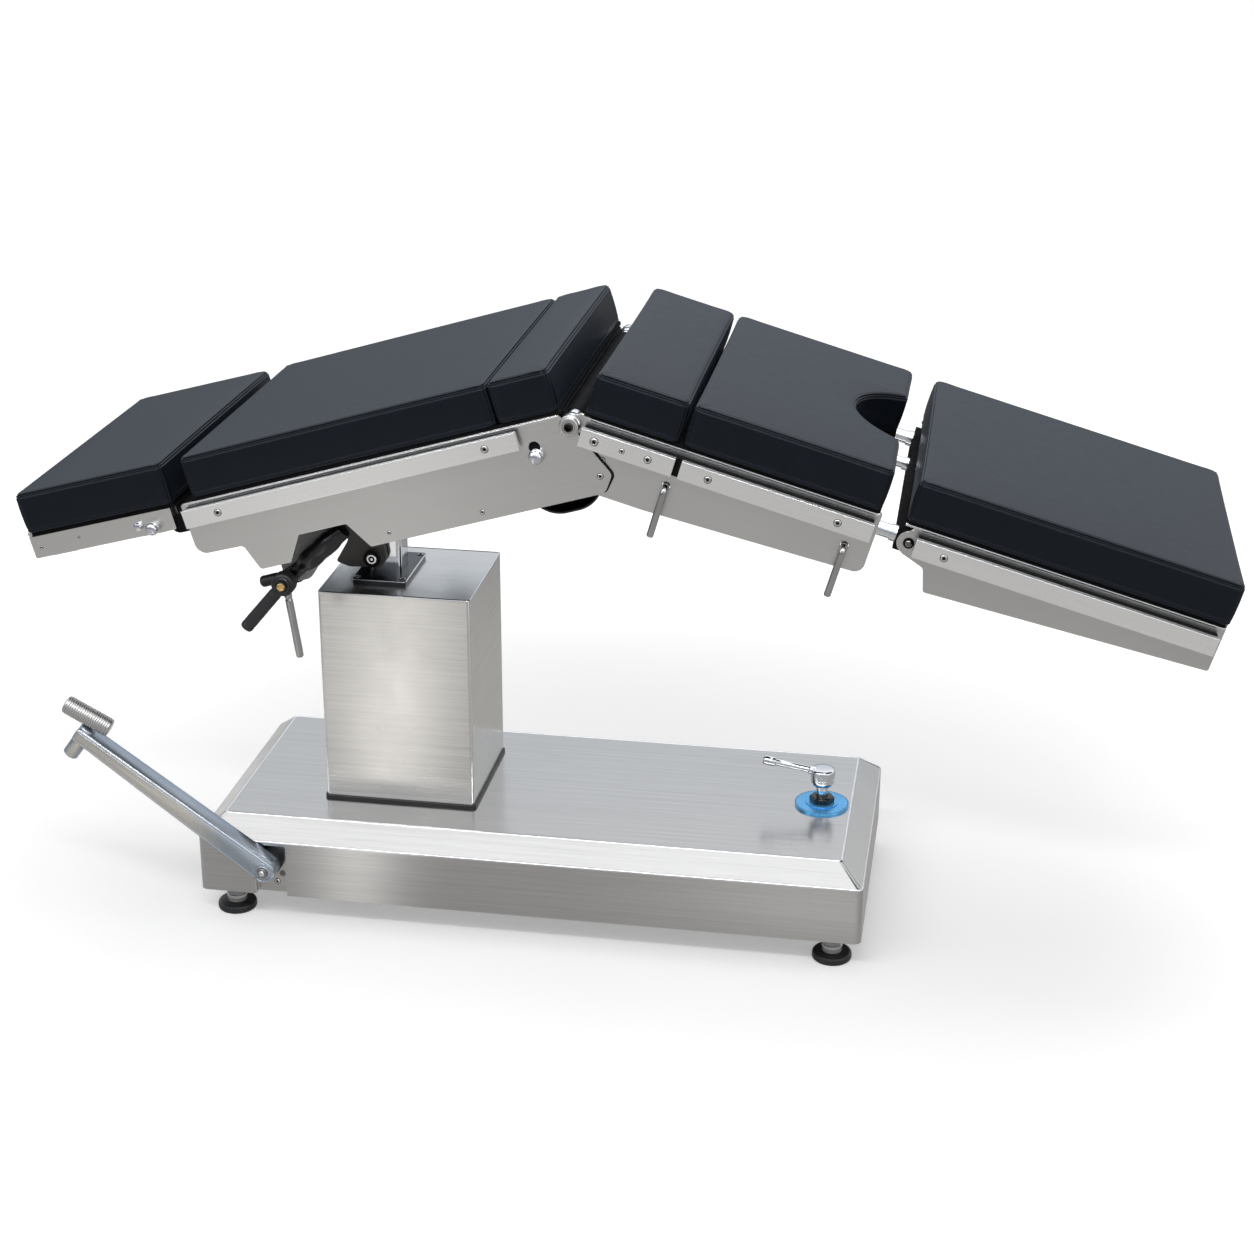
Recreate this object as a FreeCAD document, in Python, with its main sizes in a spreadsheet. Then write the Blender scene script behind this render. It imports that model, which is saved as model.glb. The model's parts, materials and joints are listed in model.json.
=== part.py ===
import FreeCAD, Part
import math
import os
import re

# An operating table: a hydraulic column on a covered base, and a top in five padded
# sections that tilts both ways, breaks at the middle and folds at the head and leg ends.
# Millimetres, +X towards the leg end, +Y away from the pedal side, +Z up from the floor.
# The origin is under the middle of the table as it stands.

doc = FreeCAD.newDocument("operating_table")
sheet = doc.addObject("Spreadsheet::Sheet", "Sizes")

sizes = {
    # base cover and feet
    "base_left_end": -692.44,
    "base_length": 1100,
    "base_width": 470,
    "skirt_bottom": 50,
    "bevel_bottom": 147,
    "base_top": 179,
    "bevel_inset": 38,
    "base_corner": 12,
    "bevel_corner": 6,
    "cover_wall": 2.5,
    "foot_inset_end": 48,
    "foot_inset_side": 42,
    "foot_radius": 29,
    "foot_height": 14,
    "stud_radius": 8,
    "stud_top": 84,
    "collar_radius": 16,
    "seat_gap": 0.3,
    "running_gap": 0.05,
    # chassis inside the base
    "chassis_bottom": 62,
    "chassis_plate": 30,
    "chassis_inset": 12,
    "beam_offset": 120,
    "beam_width": 40,
    "beam_height": 40,
    # pump pedal
    "pedal_from_end": 122,
    "pedal_height": 110,
    "pedal_slope": 36.5,
    "notch_left": 25,
    "notch_right": 28,
    "notch_top": 141,
    "recess_depth": 14,
    "bush_radius": 21,
    "pedal_shaft_radius": 8,
    "pedal_gap": 3,
    "pedal_depth": 34,
    "pedal_hub_radius": 20,
    "pedal_tip_radius": 12.5,
    "pedal_reach": 366,
    "pedal_stub_radius": 12.5,
    "pedal_stub_length": 48,
    "tread_radius": 16,
    "tread_length": 84,
    "tread_lift": 33,
    "tread_slope": 28,
    "tread_groove": 1.2,
    "tread_ring": 8,
    "pump_length": 110,
    "pump_height": 60,
    "pump_back": 145,
    # floor lock lever
    "lock_from_end": 1013,
    "lock_disc_radius": 45,
    "lock_disc_height": 4,
    "lock_nut_radius": 20,
    "lock_nut_height": 15,
    "lock_shaft_radius": 10.5,
    "lock_shaft_bottom": 96,
    "lock_hub_radius": 21,
    "lock_hub_bottom": 211,
    "lock_hub_height": 30,
    "lock_arm_radius": 5,
    "lock_arm_reach": 84,
    "lock_arm_rise": 9,
    "lock_grip_radius": 7,
    "lock_grip_length": 22,
    # column and lift
    "column_from_end": 190,
    "column_length": 253,
    "column_width": 234,
    "column_top": 550,
    "column_corner": 5,
    "gasket_height": 5,
    "gasket_overhang": 3,
    "post_from_end": 280,
    "post_side": 54,
    "post_corner": 8,
    "post_bottom": 215,
    "post_above_bolt": 36,
    "guide_side": 80,
    "guide_gap": 0.3,
    "flange_length": 89,
    "flange_width": 140,
    "flange_height": 8,
    "cylinder_radius": 19,
    "cylinder_top": 450,
    "ram_radius": 10,
    "ram_bottom": 160,
    # break hinge and slopes of the sections
    "back_slope": 16.5,
    "seat_slope": 16,
    "head_slope": 15.2,
    "leg_slope": 15.9,
    # layers across the table, as distances from its middle line
    "pad_half_width": 276,
    "inner_plate_face": 258,
    "plate_thickness": 6,
    "plate_gap": 1,
    "rail_inner_face": 280.5,
    "rail_thickness": 9.5,
    "rail_height": 28.6,
    "spacer_radius": 8,
    # heights above the break hinge, square to a section
    "plate_top": 20,
    "deck_thickness": 6,
    "pad_thickness": 66,
    "pad_edge": 5,
    "pad_corner": 10,
    "tube_height": 40,
    "tube_width": 40,
    "tube_wall": 3,
    "back_rail_drop": 1,
    "seat_rail_drop": 6,
    # back section, as distances from the break hinge towards the head
    "back_plate_end": 632,
    "back_end_drop": 64,
    "back_deep": 113,
    "back_shallow": 69,
    "cutout_near": 357,
    "cutout_far": 490,
    "cutout_slant": 27,
    "tail_near": 541,
    "tail_far": 556,
    "nose_reach": 40,
    "nose_drop": 88,
    "boss_radius": 16,
    "back_rail_start": 80,
    "back_rail_end": 627,
    "back_spacer_near": 131,
    "back_spacer_far": 569,
    "back_pad_start": 106,
    "back_pad_end": 609,
    "kidney_start": 9,
    "pad_seam": 1.2,
    "kidney_tube_start": 72,
    "hanger_gap": 3,
    "head_tube_start": 572,
    # lift of the kidney bridge
    "lift_rod_offset": 150,
    "lift_rod_radius": 10,
    "lift_rod_bottom": 120,
    "sleeve_radius": 17,
    "sleeve_bottom": 60,
    "trough_deep": 150,
    "trough_half_width": 200,
    "trough_wall": 3,
    "trough_end": 8,
    "trough_round": 52,
    # pivot pins of the break hinge
    "pin_radius": 11,
    "pin_inner_end": 250,
    "pin_head_radius": 13.5,
    "pin_head_height": 12,
    "socket_shaft_radius": 7,
    "socket_inner_end": 232,
    "hex_width": 8,
    "hex_depth": 14,
    # catch knob in its keyhole
    "catch_x": 62,
    "catch_drop": 33,
    "catch_travel": 13,
    "catch_neck_radius": 4,
    "catch_radius": 12,
    "keyhole_radius": 9,
    # tilting carriage on the lift post
    "tilt_from_end": 264,
    "tilt_above_flange": 28,
    "tilt_reach": 447.8,
    "tilt_drop": 194.8,
    "tilt_bolt_radius": 10,
    "trunnion_boss": 22,
    "trunnion_inner_face": 30,
    "trunnion_thickness": 12,
    "saddle_before": 22.8,
    "saddle_behind": 57.2,
    "saddle_half_height": 20,
    "roll_shaft_rise": 82.8,
    "roll_shaft_radius": 18,
    "roll_shaft_end": 30,
    "hanger_thickness": 24,
    "hanger_round": 30,
    "hanger_tube_shift": 4,
    # control levers under the back section
    "lever_x": 517,
    "lever_drop": 142,
    "lever_shaft_radius": 8,
    "lever_shaft_front": 278,
    "lever_plate_face": 211,
    "lever_plate_thickness": 6,
    "lever_housing_radius": 20,
    "lever_housing_end": 132,
    "tilt_handle_front": 274,
    "tilt_handle_depth": 24,
    "tilt_handle_radius": 18,
    "tilt_handle_reach": 104,
    "tilt_handle_tip": 11,
    "tilt_handle_slope": 33.5,
    "release_front": 248,
    "release_depth": 14,
    "release_hub_radius": 13,
    "release_radius": 6.2,
    "release_reach": 132,
    "release_side": 5,
    "release_lean": 8.5,
    "grip_front": 232,
    "grip_depth": 16,
    "grip_radius": 9.5,
    "grip_reach": 52,
    # seat section, as distances from the break hinge towards the leg end
    "seat_plate_end": 478,
    "seat_front_depth": 93,
    "seat_end_depth": 79,
    "seat_plate_near": 52,
    "seat_front_start": 18,
    "seat_front_end": 161,
    "seat_pad_start": 168,
    "seat_pad_end": 474,
    "short_rail_start": 20,
    "short_rail_end": 165,
    "long_rail_start": 175,
    "long_rail_end": 472,
    "cutout_half_width": 117,
    "cutout_depth": 78,
    "seat_tube_near": 85,
    "seat_tube_middle": 215,
    "seat_tube_far": 350,
    "seat_lever_near": 162,
    "seat_lever_far": 440,
    "seat_lever_drop": 45,
    "seat_lever_radius": 5.5,
    "seat_lever_reach": 78,
    "seat_lever_line": 278,
    "seat_lever_inner": 244,
    # pins that carry the leg section
    "leg_pin_drop": 10,
    "leg_pin_offset": 240,
    "guide_pin_offset": 100,
    "leg_pin_radius": 11,
    "guide_pin_radius": 9,
    "leg_pin_start": 398,
    "pin_socket_wall": 7,
    "pin_socket_start": 390,
    # leg section
    "leg_pivot": 528,
    "leg_bar_thickness": 20,
    "leg_bar_height": 36,
    "leg_bar_nose": 14,
    "leg_ear_radius": 18,
    "leg_start": 513,
    "leg_end": 1006,
    "leg_plate_end": 1004,
    "leg_box_near": 572,
    "leg_box_deep": 76,
    "leg_box_shallow": 53,
    "leg_rail_start": 536,
    "leg_rail_end": 997,
    "leg_tube_near": 600,
    "leg_tube_far": 940,
    "leg_stud_radius": 8,
    # head section
    "head_pivot": 652,
    "head_pivot_drop": 13,
    "head_bar_near": 636,
    "head_bar_half_height": 14,
    "head_pin_radius": 6,
    "head_ear_radius": 13,
    "head_ear_inner": 230,
    "head_ear_outer": 248,
    "head_plate_start": 655,
    "head_plate_end": 899,
    "head_plate_drop": 18,
    "head_pad_start": 643,
    "head_pad_end": 895,
    "head_tube_near": 675,
    "head_tube_far": 850,
    "head_rod_offset": 180,
    "head_rod_radius": 8,
    "head_rod_start": 560,
    "head_socket_radius": 13,
    "head_socket_start": 552,
    "head_knob_x": 690,
    "head_knob_drop": 7,
    "head_knob_radius": 10.5,
    "head_knob_height": 18,
}

derived = {
    "base_middle": "=base_left_end + base_length / 2",
    "post_x": "=base_left_end + post_from_end",
    "pedal_x": "=base_left_end + pedal_from_end",
    "lock_x": "=base_left_end + lock_from_end",
    "column_x": "=base_left_end + column_from_end + column_length / 2",
    "tilt_x": "=base_left_end + tilt_from_end",
    "base_front": "=base_width / 2",
    "chassis_top": "=chassis_bottom + chassis_plate",
    "flange_top": "=column_top + flange_height",
    "tilt_height": "=flange_top + tilt_above_flange",
    "post_top": "=tilt_height + post_above_bolt",
    "ram_top": "=tilt_height - 30",
    "guide_bore": "=post_side + 2 * guide_gap",
    "inner_plate_outside": "=inner_plate_face + plate_thickness",
    "outer_plate_face": "=inner_plate_outside + plate_gap",
    "outer_plate_outside": "=outer_plate_face + plate_thickness",
    "rail_outside": "=rail_inner_face + rail_thickness",
    "hinge_x": "=tilt_x + tilt_reach * cos(back_slope * 1 deg) - tilt_drop * sin(back_slope * 1 deg)",
    "hinge_height": "=tilt_height + tilt_reach * sin(back_slope * 1 deg) + tilt_drop * cos(back_slope * 1 deg)",
    "saddle_near": "=tilt_reach - saddle_before",
    "saddle_far": "=tilt_reach + saddle_behind - 12",
    "roll_shaft_drop": "=tilt_drop - roll_shaft_rise",
    "saddle_bottom": "=roll_shaft_drop + saddle_half_height",
    "saddle_top": "=roll_shaft_drop - saddle_half_height",
    "hanger_near": "=saddle_near - hanger_gap - hanger_thickness / 2",
    "hanger_far": "=saddle_far + 12 + hanger_gap + hanger_thickness / 2",
    "leg_bar_near": "=leg_pivot - leg_bar_thickness",
    "deck_top": "=plate_top + deck_thickness",
    "pad_bottom": "=deck_top + seat_gap",
    "pad_top": "=pad_bottom + pad_thickness",
    "tube_bottom": "=plate_top - tube_height",
    "kidney_end": "=back_pad_start - pad_seam",
    "pin_head_face": "=outer_plate_outside + pin_head_height",
}


def write_sheet():
    row = 1
    for entries in (sizes, derived):
        for name, content in entries.items():
            sheet.set(f"A{row}", name)
            sheet.set(f"B{row}", str(content))
            sheet.setAlias(f"B{row}", name)
            row += 1
    doc.recompute()


def size(text):
    # a sum is written with the names of the sheet, whose numbers are put in their place here
    if not isinstance(text, str):
        return float(text)
    numbers = re.sub(r"[a-z]+(?:_[a-z]+)*", lambda name: f"({getattr(sheet, name.group(0)):.6f})", text)
    return FreeCAD.Units.Quantity(numbers).Value


def linked(text):
    return re.sub(r"[a-z]+(?:_[a-z]+)*", r"Sizes.\g<0>", str(text))


def vector(x, y, z):
    return FreeCAD.Vector(size(x), size(y), size(z))


def turned_about(axis, degrees):
    return FreeCAD.Rotation(FreeCAD.Vector(*axis), degrees)


write_sheet()

along_x = (1, 0, 0)
along_y = (0, 1, 0)
along_z = (0, 0, 1)
upright = FreeCAD.Placement()


def section_frame(slope):
    return FreeCAD.Placement(vector("hinge_x", 0, "hinge_height"), turned_about(along_y, slope))


def folded(frame, pivot, degrees):
    # the same frame after a turn about a pivot that is given in it
    there = FreeCAD.Placement(pivot, FreeCAD.Rotation())
    turn = FreeCAD.Placement(FreeCAD.Vector(), turned_about(along_y, degrees))
    return frame * there * turn * there.inverse()


back = section_frame(-size("back_slope"))
seat = section_frame(size("seat_slope"))
head = folded(back, vector("-head_pivot", 0, "-head_pivot_drop"), size("back_slope - head_slope"))
leg = folded(seat, vector("leg_pivot", 0, "-leg_pin_drop"), size("leg_slope - seat_slope"))
tilt_pivot = back.inverse().multVec(vector("tilt_x", 0, "tilt_height"))


def facing_front(frame, x, z):
    # a frame whose own Z axis points out of the table's front, through a point of a section
    place = FreeCAD.Placement(vector(x, 0, z), turned_about(along_x, 90))
    return frame * place


pieces = []


def new_piece(label, frame=upright):
    body = doc.addObject("PartDesign::Body", label)
    body.Label = label
    pieces.append((body, frame))
    return body


def sketch_on(body, role, offset):
    plane = [feature for feature in body.Origin.OriginFeatures if feature.Role == role][0]
    sketch = body.newObject("Sketcher::SketchObject", "Outline")
    sketch.AttachmentSupport = (plane, [""])
    sketch.MapMode = "FlatFace"
    sketch.setExpression("AttachmentOffset.Base.z", linked(offset))
    return sketch


def rounded_curve(points):
    # straight runs between the points, with an arc of its own radius at each corner
    corners = [(vector(point[0], point[1], 0), size(point[2])) for point in points]
    starts = []
    ends = []
    arcs = []
    count = len(corners)
    for index in range(count):
        corner, radius = corners[index]
        before = (corners[index - 1][0] - corner).normalize()
        after = (corners[(index + 1) % count][0] - corner).normalize()
        if radius <= 0:
            starts.append(corner)
            ends.append(corner)
            continue
        half = before.getAngle(after) / 2
        first = corner + before * (radius / math.tan(half))
        last = corner + after * (radius / math.tan(half))
        inward = (before + after).normalize()
        middle = corner + inward * (radius / math.sin(half) - radius)
        starts.append(first)
        ends.append(last)
        arcs.append(Part.Arc(first, middle, last))
    lines = []
    for index in range(count):
        here = ends[index]
        there = starts[(index + 1) % count]
        if (there - here).Length > 1e-6:
            lines.append(Part.LineSegment(here, there))
    return lines + arcs


def circles(holes):
    normal = FreeCAD.Vector(0, 0, 1)
    return [Part.Circle(vector(x, y, 0), normal, size(radius)) for x, y, radius in holes]


def span(role, low, high):
    # where a slab starts along its sketch's normal; the upright XZ sketch faces -Y
    return f"-({high})" if role == "XZ_Plane" else low


def slab(body, role, curves, low, high, cut=False):
    sketch = sketch_on(body, role, span(role, low, high))
    sketch.addGeometry(curves, False)
    feature = body.newObject("PartDesign::Pocket" if cut else "PartDesign::Pad", "Slab")
    feature.Profile = sketch
    feature.setExpression("Length", linked(f"({high}) - ({low})"))
    feature.Reversed = cut
    checked(body, cut)
    return feature


def checked(body, cut):
    # a feature that points away from the solid changes nothing and shows no error
    before = body.Shape.Volume if body.Shape and not body.Shape.isNull() else 0
    doc.recompute()
    change = body.Shape.Volume - before
    if (change < 0) != cut or abs(change) < 1e-3:
        raise RuntimeError(f"{body.Label}: a feature left the solid as it was")


def block(body, x, y, z, cut=False):
    feature = body.newObject("PartDesign::SubtractiveBox" if cut else "PartDesign::AdditiveBox", "Block")
    for name, letter, ends in (("Length", "x", x), ("Width", "y", y), ("Height", "z", z)):
        feature.setExpression(name, linked(f"({ends[1]}) - ({ends[0]})"))
        feature.setExpression(f"Placement.Base.{letter}", linked(ends[0]))
    checked(body, cut)


def rod(body, axis, start, length, radius, cut=False):
    feature = body.newObject("PartDesign::SubtractiveCylinder" if cut else "PartDesign::AdditiveCylinder", "Rod")
    turns = {along_x: turned_about(along_y, 90), along_y: turned_about(along_x, -90)}
    if axis in turns:
        feature.Placement = FreeCAD.Placement(FreeCAD.Vector(), turns[axis])
    feature.setExpression("Radius", linked(radius))
    feature.setExpression("Height", linked(length))
    for letter, place in zip("xyz", start):
        feature.setExpression(f"Placement.Base.{letter}", linked(place))
    checked(body, cut)


def turning(body, points):
    # a profile of distance from the axis and height along it, turned once about the body's Z axis
    sketch = sketch_on(body, "XZ_Plane", 0)
    sketch.addGeometry(rounded_curve(points), False)
    feature = body.newObject("PartDesign::Revolution", "Turning")
    feature.Profile = sketch
    feature.ReferenceAxis = (sketch, ["V_Axis"])
    feature.Angle = 360
    checked(body, False)
    return feature


def bevelled_edges(body, feature, width, chosen):
    names = [f"Edge{i + 1}" for i, edge in enumerate(feature.Shape.Edges) if chosen(edge)]
    bevel = body.newObject("PartDesign::Chamfer", "Bevel")
    bevel.Base = (feature, names)
    bevel.setExpression("Size", linked(width))
    doc.recompute()


def oblong(middle_x, middle_y, length, width, radius):
    # a rectangle with rounded corners, as the points of a rounded curve
    left = f"{middle_x} - ({length}) / 2"
    right = f"{middle_x} + ({length}) / 2"
    low = f"{middle_y} - ({width}) / 2"
    high = f"{middle_y} + ({width}) / 2"
    return [(left, low, radius), (right, low, radius), (right, high, radius), (left, high, radius)]


def side_span(side, inner, outer):
    return (inner, outer) if side > 0 else (f"-({outer})", f"-({inner})")


# base: cover, chassis, feet


def foot_places():
    for end, x in (("left", "base_left_end + foot_inset_end"),
                   ("right", "base_left_end + base_length - foot_inset_end")):
        for side, y in (("front", "foot_inset_side - base_front"), ("rear", "base_front - foot_inset_side")):
            yield f"{side}_{end}", x, y


def loft_between(body, kind, low, low_points, high, high_points):
    first = sketch_on(body, "XY_Plane", low)
    first.addGeometry(rounded_curve(low_points), False)
    last = sketch_on(body, "XY_Plane", high)
    last.addGeometry(rounded_curve(high_points), False)
    loft = body.newObject(kind, "Bevel")
    loft.Profile = first
    loft.Sections = [last]
    loft.Ruled = True
    checked(body, kind.endswith("SubtractiveLoft"))


def base_cover():
    body = new_piece("base_cover")
    outer = oblong("base_middle", 0, "base_length", "base_width", "base_corner")
    shoulder = oblong("base_middle", 0, "base_length - 2 * bevel_inset", "base_width - 2 * bevel_inset",
                      "bevel_corner")
    inner = oblong("base_middle", 0, "base_length - 2 * cover_wall", "base_width - 2 * cover_wall",
                   "base_corner - cover_wall")
    inner_top = oblong("base_middle", 0, "base_length - 2 * bevel_inset - 2 * cover_wall",
                       "base_width - 2 * bevel_inset - 2 * cover_wall", "bevel_corner - cover_wall")
    slab(body, "XY_Plane", rounded_curve(outer), "skirt_bottom", "bevel_bottom")
    loft_between(body, "PartDesign::AdditiveLoft", "bevel_bottom", outer, "base_top", shoulder)
    slab(body, "XY_Plane", rounded_curve(inner), "skirt_bottom", "bevel_bottom", cut=True)
    loft_between(body, "PartDesign::SubtractiveLoft", "bevel_bottom", inner, "base_top - cover_wall", inner_top)
    # the recess that the pedal's shaft comes out of
    left = "pedal_x - notch_left"
    right = "pedal_x + notch_right"
    front = "-base_front"
    back_face = "recess_depth - base_front"
    block(body, (f"{left} - cover_wall", f"{right} + cover_wall"),
          (f"{front} + cover_wall", f"{back_face} + cover_wall"), ("skirt_bottom", "notch_top + cover_wall"))
    block(body, (left, right), (front, back_face), ("skirt_bottom", "notch_top"), cut=True)
    rod(body, along_y, ("pedal_x", back_face, "pedal_height"), "cover_wall", "bush_radius", cut=True)
    block(body, ("post_x - guide_side / 2 - seat_gap", "post_x + guide_side / 2 + seat_gap"),
          ("-guide_side / 2 - seat_gap", "guide_side / 2 + seat_gap"),
          ("base_top - cover_wall", "base_top"), cut=True)
    rod(body, along_z, ("lock_x", 0, "base_top - cover_wall"), "cover_wall", "lock_nut_radius - 4", cut=True)


def base_chassis():
    body = new_piece("base_chassis")
    plate = oblong("base_middle", 0, "base_length - 2 * (cover_wall + chassis_inset)",
                   "base_width - 2 * (cover_wall + chassis_inset) - 2 * recess_depth", "base_corner / 2")
    studs = [(x, y, "stud_radius + running_gap") for _, x, y in foot_places()]
    slab(body, "XY_Plane", rounded_curve(plate) + circles(studs), "chassis_bottom", "chassis_top")
    for side in (-1, 1):
        block(body, ("base_left_end + foot_inset_end", "base_left_end + base_length - foot_inset_end"),
              side_span(side, "beam_offset", "beam_offset + beam_width"),
              ("chassis_top", "chassis_top + beam_height"))
    rod(body, along_z, ("lock_x", 0, "chassis_top"), "base_top - cover_wall - chassis_top", "lock_nut_radius - 4")
    rod(body, along_z, ("lock_x", 0, "chassis_top"), "base_top - cover_wall - chassis_top",
        "lock_shaft_radius + running_gap", cut=True)
    # the collars that the feet screw up through
    for _, x, y in foot_places():
        start = (x, y, "foot_height + seat_gap")
        length = "chassis_bottom - foot_height - seat_gap"
        rod(body, along_z, start, length, "collar_radius")
        rod(body, along_z, start, length, "stud_radius + running_gap", cut=True)


def feet():
    for name, x, y in foot_places():
        body = new_piece(f"foot_{name}", FreeCAD.Placement(vector(x, y, 0), FreeCAD.Rotation()))
        turning(body, [(0, 0, 0), ("foot_radius - 2", 0, 0), ("foot_radius", "foot_height / 4", 0),
                       ("foot_radius - 2", "foot_height", 0), ("stud_radius", "foot_height", 0),
                       ("stud_radius", "stud_top", 0), (0, "stud_top", 0)])


def column():
    # the cover stands on a rubber gasket, and the lift post comes out through the flange on top
    foot = oblong("column_x", 0, "column_length + 2 * gasket_overhang", "column_width + 2 * gasket_overhang",
                  "column_corner + gasket_overhang")
    outer = oblong("column_x", 0, "column_length", "column_width", "column_corner")
    inner = oblong("column_x", 0, "column_length - 2 * cover_wall", "column_width - 2 * cover_wall",
                   "column_corner - cover_wall")
    gasket = new_piece("column_gasket")
    slab(gasket, "XY_Plane", rounded_curve(foot) + rounded_curve(inner), "base_top", "base_top + gasket_height")
    cover = new_piece("column_cover")
    slab(cover, "XY_Plane", rounded_curve(outer), "base_top + gasket_height", "column_top")
    slab(cover, "XY_Plane", rounded_curve(inner), "base_top + gasket_height", "column_top - cover_wall", cut=True)
    opening = oblong("post_x", 0, "guide_side + 2 * seat_gap", "guide_side + 2 * seat_gap", "post_corner")
    slab(cover, "XY_Plane", rounded_curve(opening), "column_top - cover_wall", "column_top", cut=True)
    flange = new_piece("column_flange")
    plate = oblong("post_x", 0, "flange_length", "flange_width", "post_corner / 2")
    bore = oblong("post_x", 0, "guide_bore", "guide_bore", "post_corner")
    slab(flange, "XY_Plane", rounded_curve(plate) + rounded_curve(bore), "column_top", "flange_top")
    guide = new_piece("guide_tube")
    tube = oblong("post_x", 0, "guide_side", "guide_side", "post_corner")
    slab(guide, "XY_Plane", rounded_curve(tube) + rounded_curve(bore), "chassis_top", "column_top")


def lift():
    # a hollow post on the ram of the hydraulic cylinder, which stands on the chassis inside it
    post = new_piece("lift_post")
    outer = oblong("post_x", 0, "post_side", "post_side", "post_corner")
    slab(post, "XY_Plane", rounded_curve(outer), "post_bottom", "post_top")
    rod(post, along_z, ("post_x", 0, "post_bottom"), "ram_top - post_bottom", "cylinder_radius + 1.5",
        cut=True)
    rod(post, along_y, ("tilt_x", "-post_side / 2", "tilt_height"), "post_side",
        "tilt_bolt_radius + running_gap", cut=True)
    ram = new_piece("lift_ram")
    rod(ram, along_z, ("post_x", 0, "ram_bottom"), "ram_top - ram_bottom", "ram_radius")
    cylinder = new_piece("hydraulic_cylinder")
    rod(cylinder, along_z, ("post_x", 0, "chassis_top"), "cylinder_top - chassis_top", "cylinder_radius")
    rod(cylinder, along_z, ("post_x", 0, "ram_bottom - 10"), "cylinder_top - ram_bottom + 10",
        "ram_radius + running_gap", cut=True)


# pump pedal and floor lock lever


def pump_pedal():
    face = "-base_front"
    near = f"{face} - pedal_gap"
    far = f"{near} - pedal_depth"
    bush = new_piece("pedal_bush")
    rod(bush, along_y, ("pedal_x", near, "pedal_height"), "pedal_gap + recess_depth + cover_wall", "bush_radius")
    rod(bush, along_y, ("pedal_x", near, "pedal_height"), "pedal_gap + recess_depth + cover_wall",
        "pedal_shaft_radius + running_gap", cut=True)
    pump = new_piece("hydraulic_pump")
    block(pump, ("pedal_x - pump_length / 3", "pedal_x + pump_length * 2 / 3"),
          ("recess_depth + cover_wall - base_front", "-beam_offset - beam_width"),
          ("chassis_top", "chassis_top + pump_height"))
    rod(pump, along_y, ("pedal_x", "recess_depth + cover_wall - base_front", "pedal_height"),
        "base_front - recess_depth - cover_wall - beam_offset - beam_width",
        "pedal_shaft_radius + running_gap", cut=True)
    pivot = vector("pedal_x", 0, "pedal_height")
    frame = FreeCAD.Placement(pivot, turned_about(along_y, size("pedal_slope")))
    shaft = new_piece("pedal_shaft", frame)
    rod(shaft, along_y, (0, f"{far} - 3", 0), f"-({far}) + 3 - beam_offset - beam_width", "pedal_shaft_radius")
    arm = new_piece("pedal_arm", frame)
    hub = "pedal_hub_radius"
    tip = "pedal_tip_radius"
    outline = [(f"{hub} * 0.9", f"-{hub}", f"{hub} * 0.93"), (f"{hub} * 0.9", hub, f"{hub} * 0.93"),
               ("-pedal_reach - pedal_stub_radius", tip, 5), ("-pedal_reach - pedal_stub_radius", f"-{tip}", 5)]
    bore = circles([(0, 0, "pedal_shaft_radius")])
    beam = slab(arm, "XZ_Plane", rounded_curve(outline) + bore, far, near)
    bevelled_edges(arm, beam, 4, lambda edge: edge.Length > size("pedal_reach") * 0.8)
    middle = f"({far} + {near}) / 2"
    rod(arm, along_z, ("-pedal_reach", middle, "-pedal_stub_length"),
        "pedal_stub_length + tread_lift - tread_radius + 0.6", "pedal_stub_radius")
    tread_frame = frame * FreeCAD.Placement(vector("-pedal_reach - pedal_stub_radius", middle, "tread_lift"),
                                            turned_about(along_y, size("tread_slope - pedal_slope") + 90))
    tread = new_piece("pedal_tread", tread_frame)
    turning(tread, [(0, "-tread_length / 2", 0), ("tread_radius", "-tread_length / 2", 0),
                    ("tread_radius", "tread_length / 2", 0), (0, "tread_length / 2", 0)])
    rings = int(size("(tread_length - 12) / (2 * tread_ring)"))
    for index in range(rings):
        place = f"-tread_length / 2 + 6 + {2 * index} * tread_ring"
        outside = [(0, 0, "tread_radius + 1"), (0, 0, "tread_radius - tread_groove")]
        slab(tread, "XY_Plane", circles(outside), place, f"{place} + tread_ring", cut=True)


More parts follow.
